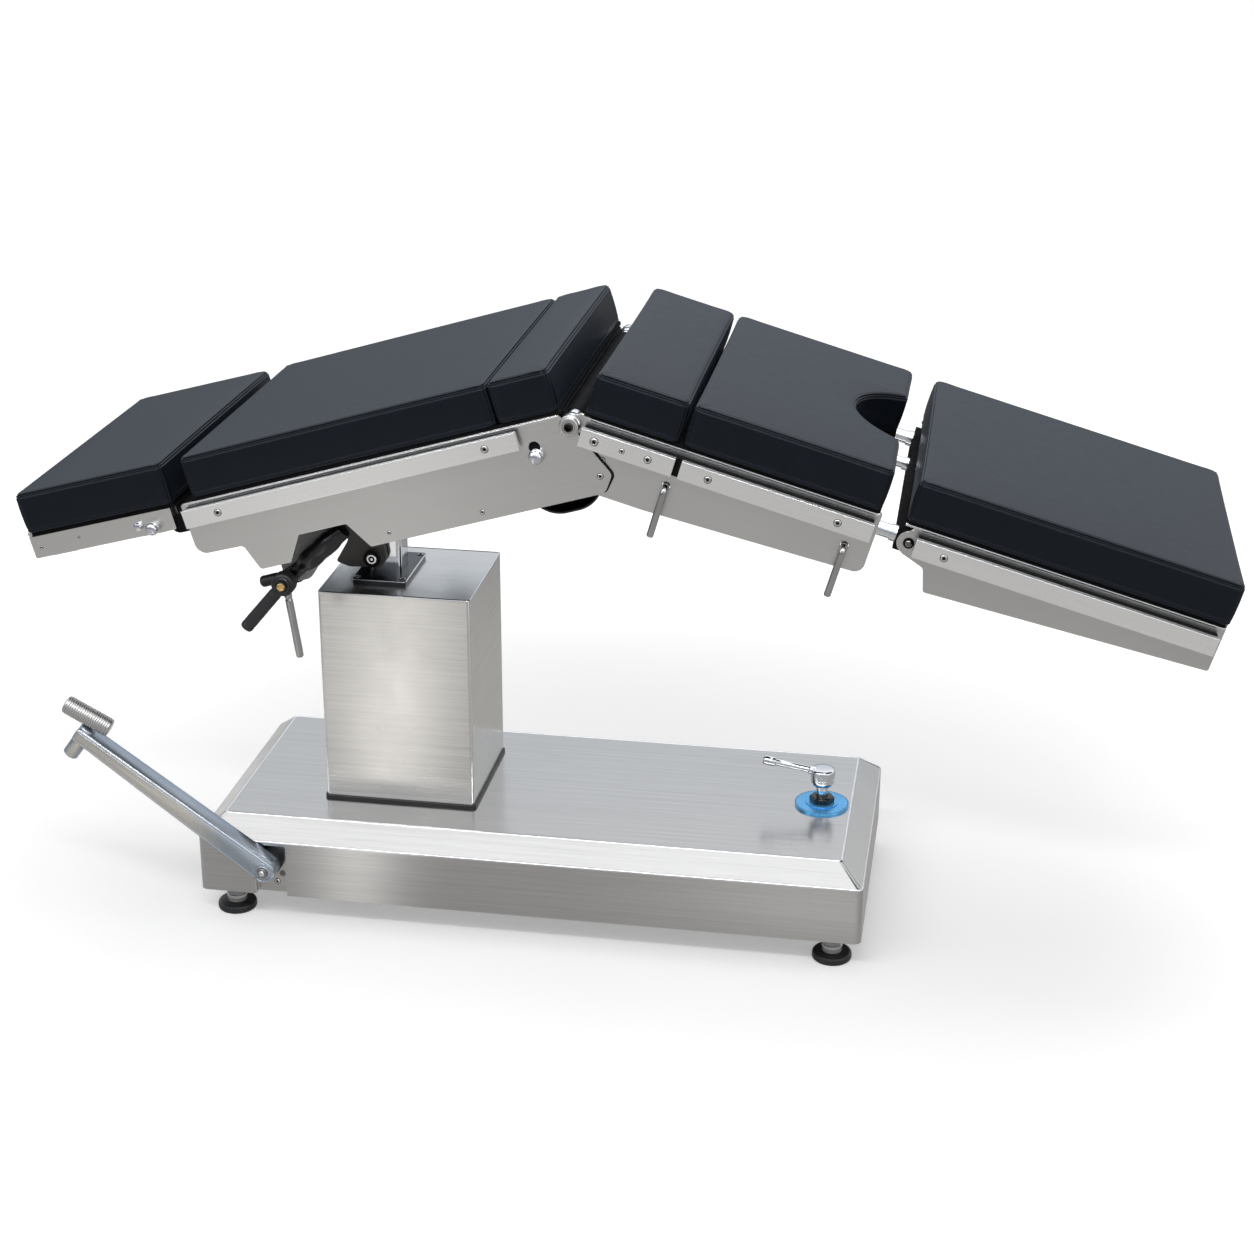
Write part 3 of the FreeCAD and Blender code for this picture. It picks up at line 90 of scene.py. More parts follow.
hinge = shift(-54.40671 * mm, 0, 899.96016 * mm)
level = np.eye(4)
backSection = hinge @ turnAboutY(-16.5)
seatSection = hinge @ turnAboutY(16.0)
headSection = backSection @ turnAboutY(1.3, -652 * mm, -13 * mm)
legSection = seatSection @ turnAboutY(-0.1, 528 * mm, -10 * mm)
faceFront = np.array([[1, 0, 0, 0], [0, 0, -1, 0], [0, 1, 0, 0], [0, 0, 0, 1.0]])  # z points out of the front
faceBack = np.array([[-1, 0, 0, 0], [0, 0, 1, 0], [0, 1, 0, 0], [0, 0, 0, 1.0]])  # z points out of the rear
alongX = np.array([[0, 0, 1, 0], [1, 0, 0, 0], [0, 1, 0, 0], [0, 0, 0, 1.0]])  # z points along +X


def at(section, x, y, z, facing=level):
    # a place on a section, in millimetres, with the way its own z points
    return section @ shift(x * mm, y * mm, z * mm) @ facing


# ---------- mesh code ----------

def carried(grid, place):
    # every point of a grid, in millimetres, carried to its place in metres
    return grid @ (place[:3, :3].T * mm) + place[:3, 3]


def turned(profile, place, around=48, sides=None):
    # a profile of radius and height carried once round the z axis
    profile = np.asarray(profile, float)
    angle = np.linspace(0, 2 * math.pi, around, endpoint=False)
    stretch = np.ones((len(profile), around))
    if sides is not None:
        # the points marked true follow a hexagon: radius over the cosine of the angle from a flat
        flat = np.cos((angle % (math.pi / 3)) - math.pi / 6)
        stretch = np.where(np.asarray(sides)[:, None], 1 / flat[None, :], 1.0)
    radius = profile[:, :1] * stretch
    grid = np.stack([radius * np.cos(angle), radius * np.sin(angle),
                     np.repeat(profile[:, 1:], around, axis=1)], axis=2)
    return carried(grid, place), True


def lofted(outline, layers, place):
    # a closed outline in x and y, drawn in by each layer's inset and lifted to its height, closed at both ends
    outline = np.asarray(outline, float)
    middle = outline.mean(axis=0)
    before = outline - np.roll(outline, 1, axis=0)
    after = np.roll(outline, -1, axis=0) - outline
    normal = np.stack([before[:, 1] + after[:, 1], -(before[:, 0] + after[:, 0])], axis=1)
    normal /= np.linalg.norm(normal, axis=1)[:, None]
    rings = []
    for inset, height in layers:
        flat = outline - normal * inset
        rings.append(np.column_stack([flat, np.full(len(flat), height)]))
    first = np.column_stack([np.repeat(middle[None], len(outline), 0), np.full(len(outline), layers[0][1])])
    last = first.copy()
    last[:, 2] = layers[-1][1]
    grid = np.stack([first] + rings + [last])
    return carried(grid, place), True


def tubed(path, radii, place, around=28):
    # a circle carried along a path of points, at the radius given for each, square to the path
    path = np.asarray(path, float)
    along = np.gradient(path, axis=0)
    along /= np.linalg.norm(along, axis=1)[:, None]
    side = np.cross(along, [0.0, 1.0, 0.0])
    weak = np.linalg.norm(side, axis=1) < 0.3
    side[weak] = np.cross(along[weak], [1.0, 0.0, 0.0])
    side /= np.linalg.norm(side, axis=1)[:, None]
    up = np.cross(side, along)
    angle = np.linspace(0, 2 * math.pi, around, endpoint=False)
    ring = side[:, None] * np.cos(angle)[None, :, None] + up[:, None] * np.sin(angle)[None, :, None]
    grid = path[:, None] + ring * np.asarray(radii, float)[:, None, None]
    return carried(grid, place), True


def capped(length, radius, steps=5, crown=None):
    # radii and heights of a rod with domed ends: a quarter ellipse at each end of a straight run
    crown = radius if crown is None else crown
    angle = np.linspace(0, math.pi / 2, steps)
    low = [(radius * math.sin(a), crown * (1 - math.cos(a))) for a in angle]
    high = [(radius * math.sin(a), length - crown * (1 - math.cos(a))) for a in angle[::-1]]
    return low + high


def roundedOutline(points, steps=6):
    # corners of x, y and radius joined by straight runs, with an arc of that radius at each corner
    points = np.asarray(points, float)
    result = []
    for index in range(len(points)):
        corner = points[index, :2]
        before = points[index - 1, :2] - corner
        after = points[(index + 1) % len(points), :2] - corner
        before /= np.linalg.norm(before)
        after /= np.linalg.norm(after)
        half = math.acos(np.clip(before @ after, -1, 1)) / 2
        radius = points[index, 2]
        if radius <= 0:
            result.append(corner)
            continue
        inward = (before + after) / np.linalg.norm(before + after)
        centre = corner + inward * radius / math.sin(half)
        first = corner + before * radius / math.tan(half) - centre
        last = corner + after * radius / math.tan(half) - centre
        sweep = math.pi - 2 * half
        for step in range(steps + 1):
            share = step / steps
            direction = first * math.sin((1 - share) * sweep) + last * math.sin(share * sweep)
            result.append(centre + direction / math.sin(sweep))
    return np.array(result)


def roundedBox(low, high, near, far, radius, steps):
    # a rectangle in plan with round corners
    corners = [(low, near, radius), (high, near, radius), (high, far, radius), (low, far, radius)]
    return roundedOutline(corners, steps)


def beadLoop(outline, inset, height, radius, place, around=12):
    # a round bead carried once round a closed outline, its middle drawn in from it
    ahead = np.roll(outline, -1, 0) - np.roll(outline, 1, 0)
    outward = np.column_stack([ahead[:, 1], -ahead[:, 0]]) / np.linalg.norm(ahead, axis=1)[:, None]
    turn = np.linspace(0, 2 * math.pi, around + 1)
    flat = outline[None] + outward[None] * (np.cos(turn) * radius - inset)[:, None, None]
    rise = np.repeat((height + np.sin(turn) * radius)[:, None, None], len(outline), 1)
    return carried(np.concatenate([flat, rise], axis=2), place), True


def makePiece(name, patches, material, body, sharp=32, values=None):
    # one mesh out of grids: rows follow the profile, columns go round; points that coincide become one
    points = []
    quads = []
    start = 0
    for grid, wraps in patches:
        rows, columns = grid.shape[:2]
        index = np.arange(rows * columns).reshape(rows, columns) + start
        left = index if wraps else index[:, :-1]
        right = np.roll(index, -1, axis=1) if wraps else index[:, 1:]
        quads.append(np.stack([left[:-1], right[:-1], right[1:], left[1:]], axis=-1).reshape(-1, 4))
        points.append(grid.reshape(-1, 3))
        start += rows * columns
    points = np.concatenate(points)
    _, first, merged = np.unique(np.round(points / 4e-6).astype(np.int64), axis=0, return_index=True,
                                 return_inverse=True)
    quads = merged.reshape(-1)[np.concatenate(quads)]
    same = quads == np.roll(quads, -1, axis=1)
    whole = quads[~same.any(axis=1)]
    pinched = quads[same.sum(axis=1) == 1]
    kept = ~same[same.sum(axis=1) == 1]
    thirds = pinched[kept].reshape(-1, 3)
    mesh = bpy.data.meshes.new(name)
    mesh.from_pydata(points[first].tolist(), [], whole.tolist() + thirds.tolist())
    work = bmesh.new()
    work.from_mesh(mesh)
    bmesh.ops.recalc_face_normals(work, faces=work.faces)
    work.to_mesh(mesh)
    work.free()
    mesh.polygons.foreach_set("use_smooth", np.ones(len(mesh.polygons), bool))
    mesh.set_sharp_from_angle(angle=math.radians(sharp))
    for label, numbers in (values or {}).items():
        attribute = mesh.attributes.new(label, "FLOAT", "POINT")
        attribute.data.foreach_set("value",
                                   np.concatenate([n.reshape(-1) for n in numbers])[first].astype(np.float32))
    mesh.materials.append(material)
    piece = bpy.data.objects.new(name, mesh)
    bpy.context.scene.collection.objects.link(piece)
    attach(piece, body)
    return piece


def turnedPiece(name, profile, place, material, body, around=48, sides=None, sharp=32):
    # a piece of one turned profile
    return makePiece(name, [turned(profile, place, around, sides)], material, body, sharp)


# ---------- materials ----------

class Nodes:
    # short calls for building a material's node tree
    def __init__(self, name):
        self.material = bpy.data.materials.new(name)
        self.material.use_nodes = True
        self.tree = self.material.node_tree
        self.shader = self.tree.nodes["Principled BSDF"]
        self.height = None
        self.textures = self.add("ShaderNodeTexCoord")

    def add(self, kind, inputs=None, **settings):
        node = self.tree.nodes.new(kind)
        for key, value in settings.items():
            setattr(node, key, value)
        for key, value in (inputs or {}).items():
            self.put(node.inputs[key], value)
        return node

    def put(self, socket, value):
        if isinstance(value, bpy.types.NodeSocket):
            self.tree.links.new(value, socket)
        else:
            socket.default_value = value

    def mapped(self, scale=(1, 1, 1), turn=(0, 0, 0)):
        first = self.add("ShaderNodeMapping", {"Vector": self.textures.outputs["Object"], "Rotation": turn})
        second = self.add("ShaderNodeMapping", {"Vector": first.outputs[0], "Scale": scale})
        return second.outputs[0]

    def noise(self, vector, scale, detail=3.0, rough=0.5, distortion=0.0):
        node = self.add("ShaderNodeTexNoise", {"Vector": vector, "Scale": scale, "Detail": detail,
                                               "Roughness": rough, "Distortion": distortion})
        return node.outputs["Fac"]

    def ranged(self, value, low, high, toLow, toHigh, smooth=False):
        node = self.add("ShaderNodeMapRange", {"Value": value, "From Min": low, "From Max": high,
                                               "To Min": toLow, "To Max": toHigh})
        if smooth:
            node.interpolation_type = "SMOOTHSTEP"
        return node.outputs[0]

    def sums(self, operation, first, second=0.0, third=0.0):
        node = self.add("ShaderNodeMath", operation=operation)
        for socket, value in zip(node.inputs, (first, second, third)):
            self.put(socket, value)
        return node.outputs[0]

    def blended(self, share, first, second):
        node = self.add("ShaderNodeMix", data_type="RGBA")
        self.put(node.inputs["Factor"], share)
        self.put(node.inputs["A"], first)
        self.put(node.inputs["B"], second)
        return node.outputs["Result"]

    def bumped(self, height, distance, strength=1.0, normal=None):
        inputs = {"Height": height, "Distance": distance, "Strength": strength}
        if normal is not None:
            inputs["Normal"] = normal
        return self.add("ShaderNodeBump", inputs).outputs[0]

    def softened(self, radius, samples=4):
        return self.add("ShaderNodeBevel", {"Radius": radius}, samples=samples).outputs[0]

    def edges(self, radius):
        # 1 along sharp edges: how far the rounded normal leans from the face's own
        geometry = self.add("ShaderNodeNewGeometry")
        dot = self.add("ShaderNodeVectorMath", operation="DOT_PRODUCT")
        self.put(dot.inputs[0], self.softened(radius))
        self.put(dot.inputs[1], geometry.outputs["True Normal"])
        return self.ranged(dot.outputs["Value"], 0.985, 0.8, 0.0, 1.0)

    def set(self, **values):
        for key, value in values.items():
            self.put(self.shader.inputs[key.replace("_", " ")], value)


def grey(value, alpha=1.0):
    return (value, value, value, alpha)


def brushedSteel(name, slope=0.0, light=0.60, warm=0.012, rough=0.26, streak=0.07, bevel=0.0014, cloud=0.04,
                 rim=0.25, lines=0.035):
    # fine streaks along the section, and across it on faces that look along it: noise stretched a hundredfold,
    # over slow cloudy changes of gloss
    n = Nodes(name)
    turn = (0, math.radians(-slope), 0)
    facing = n.add("ShaderNodeSeparateXYZ", {"Vector": n.textures.outputs["Normal"]})
    sideways = n.ranged(n.sums("ABSOLUTE", facing.outputs["X"]), 0.72, 0.8, 0.0, 1.0)

    def streaks(long, across, detail):
        lengthwise = n.noise(n.mapped((long, across, across), turn), 1.0, detail, 0.6)
        crosswise = n.noise(n.mapped((across, long, across), turn), 1.0, detail, 0.6)
        mix = n.add("ShaderNodeMix", {"Factor": sideways}, data_type="FLOAT")
        n.put(mix.inputs["A"], lengthwise)
        n.put(mix.inputs["B"], crosswise)
        return mix.outputs["Result"]

    fine = streaks(11, 1500, 3.0)
    coarse = streaks(2.4, 210, 2.0)
    slow = n.noise(n.mapped((2.4, 2.4, 2.4)), 1.0, 2.0)
    smudge = n.noise(n.mapped((14, 14, 14)), 1.0, 5.0, 0.6, 0.6)
    grain = n.sums("MULTIPLY_ADD", coarse, 0.4, n.sums("MULTIPLY", fine, 0.6))
    edge = n.edges(bevel)
    level = n.sums("ADD", light, n.ranged(grain, 0.3, 0.7, -lines, lines))
    level = n.sums("ADD", level, n.ranged(slow, 0.3, 0.7, -cloud / 2, cloud / 2))
    # painted highlight: the colour is made lighter along sharp edges, by rim
    level = n.sums("ADD", level, n.ranged(edge, 0, 1, 0, rim))
    warmer = n.add("ShaderNodeCombineColor", {"Red": n.sums("ADD", level, warm), "Green": level,
                                              "Blue": n.sums("ADD", level, -warm * 1.4)})
    gloss = n.sums("ADD", rough, n.ranged(grain, 0.3, 0.7, -streak / 2, streak / 2))
    gloss = n.sums("ADD", gloss, n.ranged(smudge, 0.35, 0.7, -0.02, 0.03))
    gloss = n.sums("ADD", gloss, n.ranged(edge, 0, 1, 0, -0.08))
    n.set(Base_Color=warmer.outputs[0], Metallic=1.0, Roughness=gloss,
          Normal=n.bumped(grain, 0.00002, 0.35, n.softened(bevel)))
    return n.material


def polishedMetal(name, colour, rough=0.14, bevel=0.0006):
    # turned bright metal: fine rings of tool marks as a faint noise, darker hairlines
    n = Nodes(name)
    marks = n.noise(n.mapped((260, 260, 260)), 1.0, 3.0, 0.6)
    slow = n.noise(n.mapped((30, 30, 30)), 1.0, 3.0)
    tint = n.blended(n.ranged(slow, 0.35, 0.65, 0.0, 1.0), colour,
                     (colour[0] * 0.88, colour[1] * 0.88, colour[2] * 0.9, 1))
    gloss = n.sums("ADD", rough, n.ranged(marks, 0.3, 0.7, -0.03, 0.05))
    n.set(Base_Color=tint, Metallic=1.0, Roughness=gloss,
          Normal=n.bumped(marks, 0.00003, 0.4, n.softened(bevel)))
    return n.material


def coated(name, colour, rough, grain=0.00008, size=900, bevel=0.0008, edgeGain=0.5, metallic=0.0, shine=0.5):
    # moulded plastic, rubber or paint: an even skin of fine pimples, a little lighter at the edges, partly wear
    # and partly a painted highlight
    n = Nodes(name)
    skin = n.noise(n.mapped((size, size, size)), 1.0, 2.0, 0.5)
    slow = n.noise(n.mapped((22, 22, 22)), 1.0, 4.0, 0.6)
    edge = n.edges(bevel)
    wornAndLit = tuple(min(1.0, c * (1 + edgeGain) + 0.01 * edgeGain) for c in colour[:3]) + (1,)
    dull = tuple(c * 0.8 for c in colour[:3]) + (1,)
    tint = n.blended(n.ranged(slow, 0.35, 0.7, 0.0, 1.0), colour, dull)
    tint = n.blended(edge, tint, wornAndLit)
    gloss = n.sums("ADD", rough, n.ranged(slow, 0.3, 0.7, -0.05, 0.07))
    n.set(Base_Color=tint, Metallic=metallic, Roughness=gloss,
          Normal=n.bumped(skin, grain, 0.5, n.softened(bevel)))
    n.shader.inputs["Specular IOR Level"].default_value = shine
    return n.material


def padCover():
    # smooth coated cloth: a leather-like grain of two sizes, slow swells, and a row of stitches by each seam
    n = Nodes("padCover")
    cells = n.add("ShaderNodeTexVoronoi", {"Vector": n.mapped((620, 620, 620)), "Scale": 1.0}, feature="F1")
    larger = n.noise(n.mapped((210, 210, 210)), 1.0, 3.0, 0.6)
    swell = n.noise(n.mapped((11, 11, 11)), 1.0, 2.0, 0.5, 0.3)
    dust = n.noise(n.mapped((46, 46, 46)), 1.0, 5.0, 0.65)
    seam = n.add("ShaderNodeAttribute", attribute_name="seamDistance").outputs["Fac"]
    along = n.add("ShaderNodeAttribute", attribute_name="seamAlong").outputs["Fac"]
    away = n.sums("ABSOLUTE", n.sums("ADD", seam, 6.2))
    row = n.ranged(away, 0.35, 0.85, 1.0, 0.0, True)
    dash = n.sums("FRACT", n.sums("DIVIDE", along, 3.4))
    dash = n.ranged(n.sums("ABSOLUTE", n.sums("SUBTRACT", dash, 0.5)), 0.30, 0.42, 1.0, 0.0, True)
    stitch = n.sums("MULTIPLY", row, dash)
    grainHeight = n.sums("MULTIPLY_ADD", cells.outputs["Distance"], 0.6, n.sums("MULTIPLY", larger, 0.4))
    base = n.blended(n.ranged(dust, 0.35, 0.7, 0.0, 1.0), (0.0038, 0.0050, 0.0082, 1),
                     (0.0046, 0.0060, 0.0098, 1))
    tint = n.blended(n.sums("MULTIPLY", stitch, 0.75), base, (0.030, 0.033, 0.040, 1))
    normal = n.bumped(swell, 0.0009, 0.4)
    normal = n.bumped(grainHeight, 0.00016, 0.45, normal)
    normal = n.bumped(stitch, 0.0006, 0.9, normal)
    gloss = n.sums("ADD", 0.33, n.ranged(dust, 0.3, 0.7, -0.015, 0.025))
    gloss = n.sums("ADD", gloss, n.ranged(cells.outputs["Distance"], 0.0, 0.6, -0.03, 0.04))
    rolled = n.ranged(n.sums("ABSOLUTE", n.sums("ADD", seam, 2.6)), 0.5, 4.0, -0.13, 0.0, True)
    gloss = n.sums("ADD", gloss, rolled)
    n.set(Base_Color=tint, Roughness=gloss, Normal=normal)
    n.shader.inputs["Specular IOR Level"].default_value = 0.2
    n.shader.inputs["Specular Tint"].default_value = (0.80, 0.89, 1.0, 1)
    n.shader.inputs["Sheen Weight"].default_value = 0.03
    n.shader.inputs["Sheen Tint"].default_value = (0.55, 0.72, 1.0, 1)
    n.shader.inputs["Sheen Roughness"].default_value = 0.4
    return n.material


steelBase = brushedSteel("steelBase", light=0.51, warm=0.006, rough=0.20, streak=0.06, bevel=0.0009, cloud=0.03,
                         rim=0.45, lines=0.045)
steelColumn = brushedSteel("steelColumn", light=0.67, warm=0.016, rough=0.24, streak=0.05, bevel=0.0026,
                           cloud=0.02,
                           rim=0.5, lines=0.07)
railLook = {"warm": 0.008, "rough": 0.30, "streak": 0.08, "bevel": 0.0016, "cloud": 0.03, "rim": 0.12}
steelRail = brushedSteel("steelRail", 16.0, light=0.94, **railLook)
steelRailBack = brushedSteel("steelRailBack", -16.5, light=0.96, **railLook)
plateLook = {"warm": 0.010, "rough": 0.31, "streak": 0.05, "lines": 0.02}
steelBack = brushedSteel("steelBack", -16.5, light=0.63, **plateLook)
steelSeat = brushedSteel("steelSeat", 16.0, light=0.64, **plateLook)
steelHead = brushedSteel("steelHead", -15.2, light=0.63, **plateLook)
steelLeg = brushedSteel("steelLeg", 15.9, light=0.59, **plateLook)
chrome = polishedMetal("chrome", (0.72, 0.73, 0.75, 1), 0.10)
satinMetal = polishedMetal("satinMetal", (0.56, 0.55, 0.53, 1), 0.26)
boltMetal = polishedMetal("boltMetal", (0.62, 0.61, 0.60, 1), 0.18)
pinMetal = polishedMetal("pinMetal", (0.24, 0.22, 0.20, 1), 0.24)
edgeMetal = polishedMetal("edgeMetal", (0.80, 0.80, 0.80, 1), 0.22)
darkSatin = polishedMetal("darkSatin", (0.26, 0.255, 0.25, 1), 0.34)
darkMetal = polishedMetal("darkMetal", (0.060, 0.058, 0.056, 1), 0.34)
brass = polishedMetal("brass", (0.74, 0.52, 0.22, 1), 0.28)
castGrey = coated("castGrey", (0.36, 0.36, 0.36, 1), 0.42, 0.00014, 420)
trunnionPaint = coated("trunnionPaint", (0.060, 0.054, 0.050, 1), 0.40, 0.00010, 500)
blackGloss = coated("blackGloss", (0.008, 0.008, 0.009, 1), 0.16, 0.00003, 700)
gripBlack = coated("gripBlack", (0.013, 0.013, 0.015, 1), 0.46, 0.00014, 1100)
rubberBlack = coated("rubberBlack", (0.011, 0.011, 0.012, 1), 0.38, 0.00012, 900)
discBlue = coated("discBlue", (0.13, 0.52, 0.98, 1), 0.26, 0.00001, 500, edgeGain=0.1, metallic=0.5)
deckAndShadeBlack = coated("deckAndShadeBlack", (0.0035, 0.0035, 0.0040, 1), 0.75, 0.00010, 600, edgeGain=0.0, shine=0.12)
shadowBlack = coated("shadowBlack", (0.005, 0.005, 0.006, 1), 0.7, shine=0.2)
softEdge = coated("softEdge", (0.60, 0.60, 0.61, 1), 0.45, 0.00001, 500, edgeGain=0.0, metallic=0.6)
rodMetal = polishedMetal("rodMetal", (0.46, 0.455, 0.45, 1), 0.12)
padSkin = padCover()


def pedalFinish():
    # burnished steel: blue-grey at the hub and on the rounded back; a painted reflection makes the front face
    # warmer and lighter towards the tip, and a painted highlight lightens the edges
    n = Nodes("armPaint")
    facing = n.add("ShaderNodeSeparateXYZ", {"Vector": n.textures.outputs["Normal"]})
    spot = n.add("ShaderNodeSeparateXYZ", {"Vector": n.textures.outputs["Object"]})
    toFront = n.ranged(facing.outputs["Y"], -0.75, -0.93, 0.0, 1.0)
    toTip = n.ranged(spot.outputs["X"], -0.625, -0.70, 0.0, 1.0, True)
    streaks = n.noise(n.mapped((9, 700, 700), (0, math.radians(-36.5), 0)), 1.0, 3.0, 0.6)
    slow = n.noise(n.mapped((12, 12, 12)), 1.0, 3.0)
    edge = n.edges(0.0022)
    tint = n.blended(n.ranged(slow, 0.35, 0.65, 0.0, 1.0), (0.42, 0.465, 0.525, 1), (0.36, 0.405, 0.465, 1))
    # painted reflection: the front face is warmer and lighter towards the tip
    tint = n.blended(n.sums("MULTIPLY", toFront, toTip), tint, (0.66, 0.635, 0.595, 1))
    # painted highlight: lighter along the edges
    tint = n.blended(edge, tint, (0.66, 0.68, 0.71, 1))
    gloss = n.sums("ADD", 0.28, n.ranged(streaks, 0.3, 0.7, -0.04, 0.05))
    n.set(Base_Color=tint, Metallic=0.9, Roughness=gloss,
          Normal=n.bumped(streaks, 0.00003, 0.4, n.softened(0.0022)))
    return n.material


armPaint = pedalFinish()
print("materials made")

# what each node of the frame is finished in where it stays in view
finishes = {
    steelBase: ["base_cover"],
    steelColumn: ["column_cover"],
    steelBack: ["back_plate_front", "back_plate_rear"],
    steelSeat: ["seat_plate_front", "seat_plate_rear"],
    steelRail: ["seat_rails", "leg_rails"],
    steelRailBack: ["back_rails"],
    steelHead: ["head_frame"],
    steelLeg: ["leg_frame"],
    deckAndShadeBlack: ["back_frame", "seat_frame", "head_bar", "leg_bar", "kidney_plate", "back_deck"],
    chrome: ["lift_post", "kidney_rods", "guide_tube", "leg_pins"],
    satinMetal: ["roll_shaft", "pedal_shaft"],
    castGrey: ["base_chassis", "lever_bracket", "hydraulic_pump", "hydraulic_cylinder", "trunnion_saddle"],
    trunnionPaint: ["trunnion_plates"],
    boltMetal: ["tilt_bolt", "break_pins", "lift_ram"],
    blackGloss: ["column_flange"],
    gripBlack: ["lever_shaft", "pedal_bush", "lock_nut"],
    rubberBlack: ["column_gasket"],
    darkMetal: ["kidney_trough"],
    discBlue: ["lock_disc"],
}
for material, names in finishes.items():
    for name in names:
        mesh = nodes[name].data
        mesh.materials.clear()
        mesh.materials.append(material)


# ---------- cushions ----------

cushions = {
    "headCushion": {"node": "head_pad", "body": "head", "section": headSection, "ends": (-895, -643)},
    "backCushion": {"node": "back_pad", "body": "back", "section": backSection, "ends": (-609, -106)},
    "bridgeCushion": {"node": "kidney_pad", "body": "kidney", "section": backSection, "ends": (-104.8, -9)},
    "hipCushion": {"node": "seat_front_pad", "body": "seat", "section": seatSection, "ends": (18, 161)},
    "seatCushion": {"node": "seat_pad", "body": "seat", "section": seatSection, "ends": (168, 474),
                    "scoop": True},
    "legCushion": {"node": "leg_pad", "body": "leg", "section": legSection, "ends": (513, 1006)},
}
cushionShape = {
    "halfWidth": 276.0,
    "bottom": 26.4, "top": 91.8,
    "corner": 13.0, "edge": 8.4, "foot": 3.0,
    "crown": 3.0, "pullIn": 1.1,
    "nearEdge": [0, 0.5, 1.0, 1.5, 2.0, 2.5, 3.0, 3.5, 4.1, 4.7, 5.3, 5.9, 6.4, 6.9, 7.5, 8.2, 9.2, 10.6, 12.6,
                 15.5, 20.0, 27.0, 36.0],
    "coarse": 11.0,
    "endGap": 0.2,
}


def ticks(low, high, near, coarse):
    # places from low to high, close together at both ends
    near = [t for t in near if t < (high - low) / 2 - 1]
    inner = np.linspace(low + near[-1], high - near[-1], max(3, int((high - low - 2 * near[-1]) / coarse) + 2))
    return np.concatenate([low + np.array(near[:-1]), inner, (high - np.array(near[:-1]))[::-1]])


def bell(value, width):
    return np.exp(-(value / width) ** 2)


def seamRise(distance):
    # across a seam: a furrow at the joint, a rounded welt each side, and a second furrow down the side
    return -1.15 * bell(distance + 0.4, 1.2) + 0.45 * bell(distance + 3.2,
                                                           1.3) - 0.95 * bell(distance + 6.2, 1.1) \
        + 0.35 * bell(distance + 8.8, 1.5) + 0.40 * bell(distance - 2.4, 1.4)


